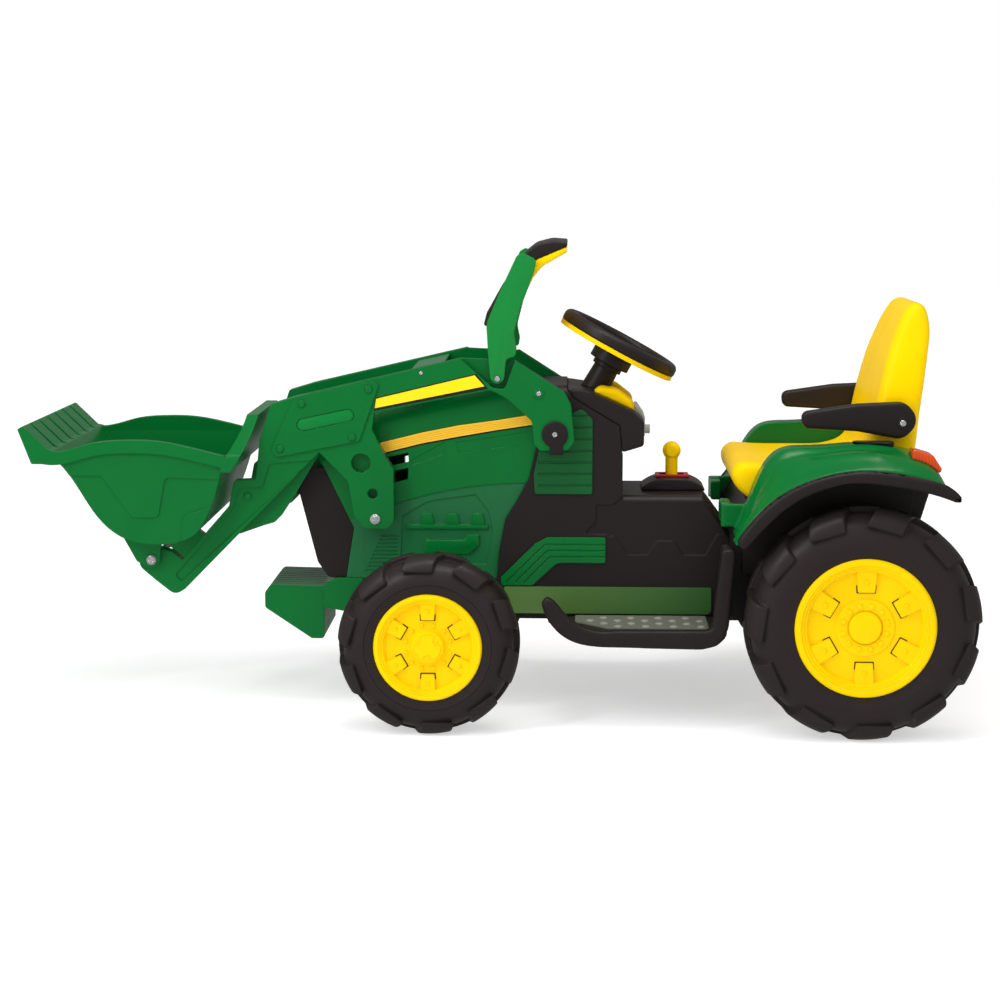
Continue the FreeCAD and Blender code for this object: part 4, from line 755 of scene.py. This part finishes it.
def loader_plugs(radius):
    """Green plugs over the knee screws and the ring about the elbow screw."""
    knee = face_of("loader_arm_right")
    arm = arm_face()
    lower_arm = arm - LOWER_ARM_STEP
    bm = bmesh.new()
    for x, z in KNEE_PLUGS:
        add_disc(bm, x, z, radius, knee, knee + PLUG_RISE, PLUG_EDGE)
    add_disc(bm, *LOWER_ARM_PLUG, radius, lower_arm, lower_arm + LOWER_PLUG_RISE, LOWER_PLUG_EDGE)
    add_disc(bm, *ELBOW_SCREW, ELBOW_RING * radius, arm, arm + ELBOW_RISE, ELBOW_EDGE)
    both_sides(bm)
    finished("loader_plugs", bm, "green", "loader")
    bm = bmesh.new()
    for x, z in KNEE_PLUGS:
        add_disc(bm, x, z, radius + RING_MARGIN, knee, knee + RING_RISE)
    add_disc(bm, *LOWER_ARM_PLUG, radius + RING_MARGIN, lower_arm, lower_arm + RING_RISE)
    both_sides(bm)
    finished("plug_rings", bm, "vent", "loader")


def knee_inlays():
    """Bright bars in the slots of the knee plates."""
    knee = face_of("loader_arm_right")
    start, end = (Vector(point) for point in KNEE_INLAY)
    heading = math.degrees(math.atan2(end.y - start.y, end.x - start.x))
    outline = []
    for centre, first in ((start, heading + 90), (end, heading - 90)):
        outline += [around(centre.x, centre.y, INLAY_HALF, first + turn) for turn in HALF_CIRCLE]
    bm = bmesh.new()
    add_prism(bm, outline, knee + INLAY_LEVELS[0], knee + INLAY_LEVELS[1], INLAY_EDGE)
    both_sides(bm)
    finished("knee_inlays", bm, "inlay", "loader")


def add_screw(bm, x, z, radius, face, height):
    """Pan head with a cross recess drawn as four raised quarters."""
    add_disc(bm, x, z, radius, face, face + HEAD_RIM * height, HEAD_EDGE * height, HEAD_SIDES)
    for middle in (45, 135, 225, 315):
        hub = around(x, z, RECESS_GAP * radius, middle)
        quarter = [hub] + [around(*hub, QUARTER_REACH * radius, middle + turn) for turn in QUARTER_TURNS]
        add_prism(bm, quarter, face + RECESS_FLOOR * height, face + height, RECESS_EDGE * height)


def loader_screws(screw, cap):
    """Bright screws on the beams, elbows, handle pins and elbow caps, and cap nuts at the mast feet."""
    arm = arm_face()
    bm = bmesh.new()
    for place, share, level, height in BEAM_SCREWS:
        add_screw(bm, *place, share * screw, arm + level, height)
    add_screw(bm, *ELBOW_CAP, CAP_SCREW * screw, face_of("loader_pivot_caps"), CAP_SCREW_HEIGHT)
    add_disc(bm, *MAST_NUT, cap, arm, arm + NUT_RISE, NUT_EDGE)
    add_screw(bm, *MAST_NUT, NUT_SCREW * cap, arm + NUT_RISE, NUT_SCREW_HEIGHT)
    both_sides(bm)
    finished("loader_screws", bm, "chrome", "loader")


def bucket_screws():
    """Domed cross-head screws in the ends of the bucket's pivot rod."""
    low, high = node_box("bucket_rod")
    centre = (low + high) / 2
    radius = (high.x - low.x) / 2
    bm = bmesh.new()
    add_screw(bm, centre.x, centre.z, ROD_SCREW * radius, high.y - ROD_SCREW_SINK, ROD_SCREW_HEIGHT)
    both_sides(bm)
    finished("bucket_screws", bm, "chrome", node_body("bucket_rod"))


class TRACTOR_OT_fasteners(bpy.types.Operator):
    """Fit the visible screws, plugs and inlays of the loader"""
    bl_idname = "tractor.fasteners"
    bl_label = "Fasteners"

    def execute(self, context):
        sizes = context.scene.tractor_sizes
        loader_plugs(sizes.plug_radius / MM)
        knee_inlays()
        loader_screws(sizes.screw_radius / MM, sizes.cap_radius / MM)
        bucket_screws()
        return {"FINISHED"}


# Tread plates

BUMP_RISE = 2.6
BUMP_SHARE = 0.16
BUMP_ROWS = 4
BUMP_COLUMNS = 10
ROW_STEP = 0.46
TREAD_MARGIN = 12
TREAD_SLANT = 60
PEDAL_CLEARANCE = 22
SILL_STEP = 1


def bump_places(pitch):
    """Staggered places on one plate, in millimetres, clear of its margin and its slanted front corner."""
    low, high = node_box("tread_plates")
    outer = high.y - TREAD_MARGIN
    places = []
    for row in range(BUMP_ROWS):
        y = outer - ROW_STEP * pitch * row
        for column in range(BUMP_COLUMNS):
            x = high.x - TREAD_MARGIN - pitch * (column + 0.5 * (row % 2))
            if x - low.x >= TREAD_MARGIN and y <= outer - max(0, low.x + TREAD_SLANT - x):
                places.append((x, y))
    return places


class TRACTOR_OT_tread_bumps(bpy.types.Operator):
    """Raise staggered round bumps on the tread plates, clear of the pedal"""
    bl_idname = "tractor.tread_bumps"
    bl_label = "Tread bumps"

    def execute(self, context):
        pitch = context.scene.tractor_sizes.stud_pitch / MM
        radius = BUMP_SHARE * pitch
        flat = Matrix.Diagonal((1, 1, BUMP_RISE / radius, 1))
        plate_top = node_box("body_sills")[0].z - SILL_STEP
        pedal_rear = node_box("accelerator_pedal")[1].x + PEDAL_CLEARANCE
        bm = bmesh.new()
        for x, y in bump_places(pitch):
            for side in (-1, 1):
                if side == 1 and x < pedal_rear:
                    continue
                place = Matrix.Translation((x * MM, side * y * MM, plate_top * MM))
                bmesh.ops.create_uvsphere(bm, u_segments=18, v_segments=10, radius=radius * MM,
                                          matrix=place @ flat)
        # The bumps wear a lighter grey that paints their highlights.
        finished("tread_bumps", bm, "highlit_stud", "chassis")
        return {"FINISHED"}


# Mouldings with rounded edges

SOFT_EDGES = {
    "fender_flares": 7.0, "tail_lights": 3.0, "fender_pads": 3.0, "loader_pivot_caps": 1.5,
}
CLOSE_EDGES = {
    "handle_uprights": 3.0, "handle_grip": 5.0, "handle_grip_under": 5.0,
}
CAD_MERGE = 0.01 * MM
SOFT_SEGMENTS = 4
FLAT_ANGLE = math.radians(1)
SHARP_ANGLE = math.radians(40)
REMOULDED = {
    "fender_left": 8, "fender_right": 8, "footrest_left": 48, "footrest_right": 48, "dashboard": 8,
    "gear_console": 10, "dash_pods": 8,
}
MOULD_VOXEL = 2.0
MOULD_SHARE = 0.35
FENDER_CREST = 198
CREASE_END = 60
CREASE_FADE = 40

# Creases of the fenders: distance out from the crest, half width and height, in millimetres
CREASES = ((17, 9, -4.0), (50, 13, 4.0))


def merged_copy(name):
    """Copy of a CAD node's mesh with its loose triangles joined."""
    bm = bmesh.new()
    bm.from_mesh(frame["nodes"][name].data)
    bmesh.ops.remove_doubles(bm, verts=bm.verts, dist=CAD_MERGE)
    return bm


def stand_for(name, bm):
    """Finishes a reshaped copy as the piece that stands for its node."""
    piece = finished(f"{name}_soft", bm, node_material(name), node_body(name))
    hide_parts(name)
    return piece


def softened(name, radius, clamp):
    """Rounds over the sharp edges of a node with long plain edges."""
    bm = merged_copy(name)
    bmesh.ops.dissolve_limit(bm, angle_limit=FLAT_ANGLE, verts=bm.verts, edges=bm.edges)
    sharp = [edge for edge in bm.edges if len(edge.link_faces) == 2 and edge.calc_face_angle() > SHARP_ANGLE]
    round_edges(bm, sharp, radius, SOFT_SEGMENTS, clamp)
    stand_for(name, bm)


def keep_modified(piece):
    """Keeps what the piece's modifiers made of it."""
    mesh = bpy.data.meshes.new_from_object(piece.evaluated_get(bpy.context.evaluated_depsgraph_get()))
    piece.modifiers.clear()
    piece.data = mesh


def reskin(piece, voxel, passes):
    """New even skin, smoothed so that every edge gets the soft radius of a moulding."""
    skin = piece.modifiers.new("skin", "REMESH")
    skin.mode = "VOXEL"
    skin.voxel_size = voxel * MM
    skin.use_smooth_shade = True
    ease = piece.modifiers.new("ease", "SMOOTH")
    ease.factor = 0.5
    ease.iterations = passes
    keep_modified(piece)


def thin_out(piece):
    """Drops the skin's spare faces on flat stretches."""
    thin = piece.modifiers.new("thin", "DECIMATE")
    thin.ratio = MOULD_SHARE
    keep_modified(piece)


def crease_fender(piece):
    """Presses a valley beside the crest and a rolled ridge below it, fading out at the tail light."""
    low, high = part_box("rear_axle")
    axle = (low + high) / 2
    for vert in piece.data.vertices:
        aside = abs(vert.co.y) / MM - FENDER_CREST
        press = sum(rise * math.exp(-((aside - place) / width) ** 2) for place, width, rise in CREASES)
        fade = min(1.0, max(0.0, (axle.x + CREASE_END * MM - vert.co.x) / (CREASE_FADE * MM)))
        outward = Vector((vert.co.x - axle.x, 0, vert.co.z - axle.z)).normalized()
        vert.co += outward * press * fade * MM


class TRACTOR_OT_soft_edges(bpy.types.Operator):
    """Round the edges of the mouldings whose edges are soft in the hand"""
    bl_idname = "tractor.soft_edges"
    bl_label = "Soft edges"

    def execute(self, context):
        for name, radius in SOFT_EDGES.items():
            softened(name, radius, False)
        for name, radius in CLOSE_EDGES.items():
            softened(name, radius, True)
        for name, passes in REMOULDED.items():
            piece = stand_for(name, merged_copy(name))
            reskin(piece, MOULD_VOXEL, passes)
            if name.startswith("fender"):
                crease_fender(piece)
            thin_out(piece)
        return {"FINISHED"}


# Seat and armrests

SEAT_SIDE = (
    (441, 386), (414, 412, 20), (405, 436, 14), (422, 456, 16), (470, 452, 100), (590, 452, 60),
    (640, 466, 34), (651, 540, 200), (671, 630, 300), (692, 688, 90), (714, 729, 20), (741, 726, 14),
    (749, 682, 50), (730, 546, 200), (716, 386),
)
SEAT_SHOULDER = 545
SEAT_SLICES = 14
SEAT_TOP_SHARE = 0.68
SEAT_TAPER = 1.6
SEAT_VOXEL = 5.0
SEAT_PASSES = 40
ARMREST_SIDE = (
    (-171, 18, 12), (-76, 32, 60), (4, 36, 26), (32, 4, 26), (2, -29, 26), (-75, -15, 60), (-169, -10, 12),
)
ARMREST_EDGE = 7.0
CUSHION_SEGMENTS = 5
BOLT_SHANK = 0.5
BOLT_HEAD = 0.6
HEAD_LEVEL = 0.6
HEAD_HEIGHT = 2.8
SEAT_INSET = 4
CUP_LEVEL = 0.3
CUP_EDGE = 0.3

# Rings of the armrest cups: margin round the bolt's own radius, and rise
CUP_RINGS = ((0.0, 1.0), (1.6, 0.5))


def add_cushioned_prism(bm, outline, y_low, y_high, rounding):
    """Extruded outline with both outer edges rounded over."""
    extrude_outline(bm, outline, y_low, y_high)
    round_edges(bm, rim_edges(bm, y_low) + rim_edges(bm, y_high), rounding, CUSHION_SEGMENTS)


class TRACTOR_OT_seat(bpy.types.Operator):
    """Model the moulded seat with rounded edges and a back that narrows upwards"""
    bl_idname = "tractor.seat"
    bl_label = "Seat"

    def execute(self, context):
        low, high = node_box("seat")
        back_height = high.z - SEAT_SHOULDER
        bm = bmesh.new()
        rounding = context.scene.tractor_sizes.seat_round / MM
        add_cushioned_prism(bm, round_corners(SEAT_SIDE), low.y, high.y, rounding)
        for step in range(1, SEAT_SLICES):
            level = SEAT_SHOULDER + back_height * step / SEAT_SLICES
            bmesh.ops.bisect_plane(bm, geom=everything(bm), dist=MERGE_DISTANCE, plane_co=(0, 0, level * MM),
                                   plane_no=(0, 0, 1))
        for vert in bm.verts:
            climb = max(0.0, vert.co.z / MM - SEAT_SHOULDER) / back_height
            vert.co.y *= 1 - (1 - SEAT_TOP_SHARE) * climb ** SEAT_TAPER
        piece = finished("seat_moulding", bm, "yellow", "chassis")
        reskin(piece, SEAT_VOXEL, SEAT_PASSES)
        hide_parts("seat")
        return {"FINISHED"}


def armrest_pad(side, bolt):
    """Armrest drawn about its bolt."""
    low, high = node_box("armrest_right")
    outline = round_corners([(bolt.x + x, bolt.z + z, radius) for x, z, radius in ARMREST_SIDE])
    bm = bmesh.new()
    add_cushioned_prism(bm, outline, low.y, high.y, ARMREST_EDGE)
    put_on_side(bm, side)
    piece = finished(f"armrest_pad_{side}", bm, "black", f"armrest_{side}")
    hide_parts(f"armrest_{side}")


def armrest_screws(bolt, radius):
    """Cross-head bolts that the armrests swing on, each sunk in a black cup."""
    pad = face_of("armrest_right")
    head = pad + HEAD_LEVEL
    body = node_body("armrest_bolts")
    bm = bmesh.new()
    add_disc(bm, bolt.x, bolt.z, BOLT_SHANK * radius, face_of("seat") - SEAT_INSET, head)
    add_screw(bm, bolt.x, bolt.z, BOLT_HEAD * radius, head, HEAD_HEIGHT)
    both_sides(bm)
    piece = finished("armrest_screws", bm, "chrome", body)
    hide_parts("armrest_bolts")
    bm = bmesh.new()
    cup = pad + CUP_LEVEL
    for margin, rise in CUP_RINGS:
        add_disc(bm, bolt.x, bolt.z, radius + margin, cup, cup + rise, CUP_EDGE)
    both_sides(bm)
    finished("armrest_cups", bm, "ink", body)


class TRACTOR_OT_armrests(bpy.types.Operator):
    """Model the armrests with well rounded edges, and the bolts that they swing on"""
    bl_idname = "tractor.armrests"
    bl_label = "Armrests"

    def execute(self, context):
        low, high = node_box("armrest_bolts")
        bolt = (low + high) / 2
        for side in SIDES:
            armrest_pad(side, bolt)
        armrest_screws(bolt, (high.x - low.x) / 2)
        return {"FINISHED"}


# Studio

FLOOR_RADIUS = 14.0
SURROUND_RADIUS = 14.5
FLOOR_COLOUR = (0.74, 0.74, 0.74, 1)
FLOOR_GLOW = 0.52
WHITE = (1, 1, 1, 1)
BLACK = (0, 0, 0, 1)
WORLD_LIGHT = 0.25
MIDDLE = (0.0, 0.0, 0.35)
SEAT_FRONT = (0.5, 0, 0.4)
CAMERA_PLACE = (0.1303, -3.571, 0.9396)
CAMERA_DOWN = 9.17
CAMERA_TURN = 2.036
FOCAL_LENGTH = 72.0
SENSOR_WIDTH = 36.0


def staged(name, bm, material):
    """Adds a piece of the studio, which is no part of the toy."""
    mesh = bpy.data.meshes.new(name)
    bm.to_mesh(mesh)
    bm.free()
    mesh.materials.append(material)
    piece = bpy.data.objects.new(name, mesh)
    bpy.context.scene.collection.objects.link(piece)
    return piece


def studio_floor():
    """Wide pale floor that stays near white under the lights."""
    material = new_material("white studio floor", Base_Color=FLOOR_COLOUR, Roughness=0.7,
                            Specular_IOR_Level=0.1, Emission_Color=WHITE, Emission_Strength=FLOOR_GLOW)
    bm = bmesh.new()
    bmesh.ops.create_circle(bm, cap_ends=True, segments=96, radius=FLOOR_RADIUS)
    floor = staged("floor", bm, material)
    floor.visible_glossy = False


def white_dome():
    """White surround seen by the camera alone, so it adds no light of its own."""
    material = new_material("white surround", Base_Color=BLACK, Specular_IOR_Level=0.0, Emission_Color=WHITE,
                            Emission_Strength=1.0)
    bm = bmesh.new()
    bmesh.ops.create_uvsphere(bm, u_segments=64, v_segments=32, radius=SURROUND_RADIUS)
    dome = staged("surround", bm, material)
    dome.visible_diffuse = False
    dome.visible_glossy = False
    dome.visible_transmission = False
    dome.visible_shadow = False


def add_light(name, kind, place, aim, energy, **settings):
    """Lamp aimed at a point; only the softboxes show as reflections, so the colours stay deep."""
    lamp = bpy.data.lights.new(name, kind)
    lamp.energy = energy
    for setting, value in settings.items():
        setattr(lamp, setting, value)
    holder = bpy.data.objects.new(name, lamp)
    holder.location = place
    holder.rotation_euler = (Vector(aim) - Vector(place)).to_track_quat("-Z", "Y").to_euler()
    holder.visible_glossy = kind == "AREA"
    bpy.context.scene.collection.objects.link(holder)


def studio_lights():
    """Two broad suns for the colours, and two narrow softboxes for the highlights."""
    add_light("key", "SUN", (1.2, -1.6, 3.2), MIDDLE, 1.15, angle=math.radians(70))
    add_light("fill", "SUN", (-3.6, -1.4, 1.8), MIDDLE, 1.45, angle=math.radians(80))
    add_light("top softbox", "AREA", (0.3, -0.5, 2.6), MIDDLE, 21, shape="RECTANGLE", size=2.2, size_y=0.2)
    add_light("front softbox", "AREA", (-1.3, -1.5, 1.9), SEAT_FRONT, 14, shape="RECTANGLE", size=0.14,
              size_y=1.4)


def studio_world(scene):
    """Faint even light from all round."""
    world = bpy.data.worlds.new("studio")
    world.use_nodes = True
    background = world.node_tree.nodes["Background"]
    background.inputs["Color"].default_value = WHITE
    background.inputs["Strength"].default_value = WORLD_LIGHT
    scene.world = world


def photo_camera(scene):
    """Camera at the photograph's viewing angle: low, from the left, square to the side."""
    lens = bpy.data.cameras.new("camera")
    lens.lens = FOCAL_LENGTH
    lens.sensor_width = SENSOR_WIDTH
    camera = bpy.data.objects.new("camera", lens)
    camera.location = CAMERA_PLACE
    camera.rotation_euler = (math.radians(90 - CAMERA_DOWN), 0, math.radians(CAMERA_TURN))
    scene.collection.objects.link(camera)
    scene.camera = camera


class TRACTOR_OT_stage(bpy.types.Operator):
    """Build the studio: pale floor, white surround, soft lights and camera"""
    bl_idname = "tractor.stage"
    bl_label = "Stage"

    def execute(self, context):
        context.scene.view_settings.view_transform = "Standard"
        studio_floor()
        white_dome()
        studio_lights()
        studio_world(context.scene)
        photo_camera(context.scene)
        return {"FINISHED"}


class TRACTOR_PT_panel(bpy.types.Panel):
    """Sidebar panel with the settings and the steps"""
    bl_label = "Tractor"
    bl_idname = "TRACTOR_PT_panel"
    bl_space_type = "VIEW_3D"
    bl_region_type = "UI"
    bl_category = "Tractor"

    def draw(self, context):
        for group in (context.scene.tractor_colours, context.scene.tractor_sizes):
            for name in setting_names(group):
                self.layout.prop(group, name)
        for step in STEPS:
            self.layout.operator(step.bl_idname)


STEPS = (
    TRACTOR_OT_finish_frame, TRACTOR_OT_wheel_details, TRACTOR_OT_decals, TRACTOR_OT_engine_block,
    TRACTOR_OT_fasteners, TRACTOR_OT_tread_bumps, TRACTOR_OT_soft_edges, TRACTOR_OT_seat, TRACTOR_OT_armrests,
    TRACTOR_OT_stage,
)
CLASSES = (TractorColours, TractorSizes, *STEPS, TRACTOR_PT_panel)


def register():
    for item in CLASSES:
        bpy.utils.register_class(item)
    bpy.types.Scene.tractor_colours = bpy.props.PointerProperty(type=TractorColours)
    bpy.types.Scene.tractor_sizes = bpy.props.PointerProperty(type=TractorSizes)


def unregister():
    del bpy.types.Scene.tractor_sizes
    del bpy.types.Scene.tractor_colours
    for item in reversed(CLASSES):
        bpy.utils.unregister_class(item)


def main():
    register()
    bpy.ops.tractor.finish_frame()
    bpy.ops.tractor.wheel_details()
    bpy.ops.tractor.decals()
    bpy.ops.tractor.engine_block()
    bpy.ops.tractor.fasteners()
    bpy.ops.tractor.tread_bumps()
    bpy.ops.tractor.soft_edges()
    bpy.ops.tractor.seat()
    bpy.ops.tractor.armrests()
    bpy.ops.tractor.stage()


if __name__ == "__main__":
    main()
